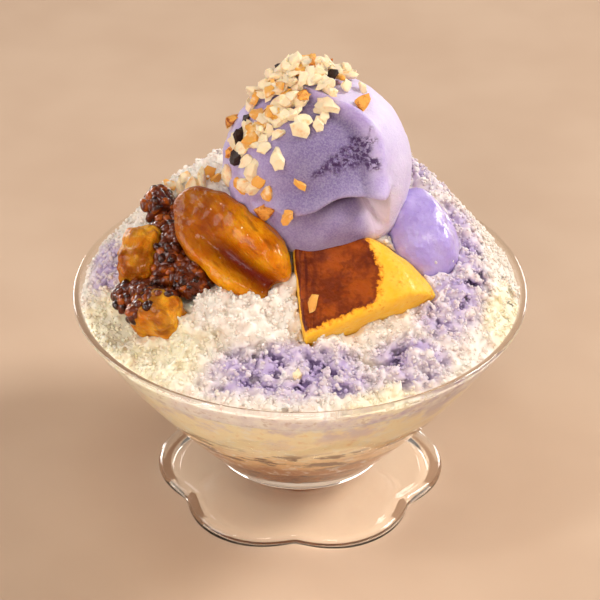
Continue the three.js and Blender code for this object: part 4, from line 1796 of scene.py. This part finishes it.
@dataclass
class Studio:
    """The table, the soft lamps and the camera."""

    lens: float = 126
    sensor: float = 36
    distance: float = 697.5
    elevation: float = math.radians(32.64)
    target_height: float = 69.1
    table_side: float = 4
    room_tint: Paint = (1.0, 0.82, 0.68, 1)
    lamps: tuple[Lamp, ...] = (
        Lamp("key_lamp", (1.35, 0.3, 1.2), 0.55, 26.5, (1.0, 0.97, 0.94), Shine.FULL),
        Lamp("top_lamp", (-0.2, -0.25, 1.3), 0.7, 3.0, (1.0, 0.95, 0.9), Shine.NONE),
        Lamp("front_lamp", (-0.3, -1.15, 0.6), 0.6, 7.6, (1.0, 0.91, 0.82), Shine.NONE),
        Lamp("spark_lamp", (-0.75, -0.45, 1.35), 0.12, 2.2, (1.0, 0.97, 0.94), Shine.FULL),
        Lamp("left_lamp", (-1.2, 0.2, 0.8), 0.4, 2, (0.84, 0.9, 1.0), Shine.FULL),
        Lamp("left_card", (-1.1, -0.5, 0.5), 0.7, 7, (0.95, 0.97, 1.0), Shine.ONLY),
        Lamp("back_left_card", (-0.9, 1.2, 0.3), 0.6, 9, (1.0, 0.98, 0.96), Shine.ONLY),
        Lamp("back_right_card", (0.9, 1.2, 0.3), 0.6, 9, (1.0, 0.98, 0.96), Shine.ONLY),
        Lamp("front_card", (0, -0.85, 1.35), 0.35, 3, (1.0, 0.98, 0.96), Shine.ONLY),
        Lamp("overhead_card", (0, 0, 1.6), 1.8, 9, (1.0, 0.97, 0.94), Shine.GLASS))

    def build(self) -> None:
        """Makes the table, the lamps, the light of the room and the camera."""
        self.table()
        target = Vector((0, 0, self.target_height * MM))
        for lamp in self.lamps:
            lamp.hang(target)
        self.room()
        self.camera(target)

    def table(self) -> None:
        """Lays the plain table under the dish."""
        deselect()
        bpy.ops.mesh.primitive_plane_add(size=self.table_side, location=(0, 0, 0))
        table = bpy.context.object
        table.name = table.data.name = "table"
        table.data.materials.append(Tabletop().make())

    def room(self) -> None:
        """Fills the room with warm light that is strongest near the table's level."""
        world = bpy.data.worlds.new("room")
        world.use_nodes = True
        nodes, links = world.node_tree.nodes, world.node_tree.links
        where = nodes.new("ShaderNodeTexCoord")
        height = nodes.new("ShaderNodeSeparateXYZ")
        level = nodes.new("ShaderNodeMapRange")
        for key, value in ((1, 0.05), (2, 0.5), (3, 0.85), (4, 0.2)):
            level.inputs[key].default_value = value
        links.new(where.outputs["Generated"], height.inputs[0])
        links.new(height.outputs["Z"], level.inputs[0])
        backdrop = nodes["Background"]
        backdrop.inputs["Color"].default_value = self.room_tint
        links.new(level.outputs[0], backdrop.inputs["Strength"])
        bpy.context.scene.world = world
        bpy.context.scene.view_settings.view_transform = "Standard"

    def camera(self, target: Vector) -> None:
        """Adds the camera, in front of the serving side and looking down on it.

        Args:
            target: What it is aimed at, in metres.
        """
        lens = bpy.data.cameras.new("camera")
        lens.lens, lens.sensor_width, lens.clip_start = self.lens, self.sensor, 0.02
        holder = bpy.data.objects.new("camera", lens)
        bpy.context.scene.collection.objects.link(holder)
        back = Vector((0, -math.cos(self.elevation), math.sin(self.elevation))) * self.distance * MM
        turn = (-back).to_track_quat("-Z", "Y").to_matrix().to_4x4()
        holder.matrix_world = Matrix.Translation(target + back) @ turn
        bpy.context.scene.camera = holder


def main() -> None:
    """Builds the dessert, from the dish up to the crisp rice, and then the studio round it."""
    logging.basicConfig(level=logging.INFO, format="%(name)s: %(message)s")
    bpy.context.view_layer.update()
    fruit, bean = CandiedFruit().make(), SweetBean().make()
    ice, crisp = ShavedIce().make(), CrispRice().make()
    foot_glass = ClearGlass(bend=1.42, name="foot_glass", deep_mirrors=True).make()
    bean_syrup = SweetBean(srgb(150, 82, 22), srgb(84, 40, 8), srgb(194, 124, 48), "bean_syrup").make()
    amber, glow, deep = srgb(218, 128, 14), srgb(250, 186, 50), srgb(116, 44, 2)
    jelly = CandiedFruit(amber, glow, deep, name="candied_jelly").make()
    dish = GlassDish()
    dish.build(ClearGlass().make(), foot_glass)
    filling = Filling(dish)
    filling.build_slush(MilkySlush().make())
    filling.build_beans(bean_syrup)
    IceMound(dish).build(ice, ShavedIce(name="ice_crystal", reach=0.12).make())
    scoop = IceCreamScoop()
    scoop.build(YamIceCream().make())
    FlanWedge().build(Flan().make())
    FruitSlice().build(fruit)
    CandiedChunk("candied_chunk_back", (10.5, 6.5, 9), (0.3, 1, 0.15), (-0.35, -0.3, 1), 71).build(jelly)
    front_chunk = CandiedChunk("candied_chunk_front", (8.5, 6.5, 7.5), (1, -0.35, 0), (-0.3, -0.45, 1), 75)
    BeanHeap(front_chunk.build(jelly)).build(bean)
    YamLump().build(YamJam().make())
    CrispTopping(scoop).build(crisp)
    Studio().build()


if __name__ == "__main__":
    main()
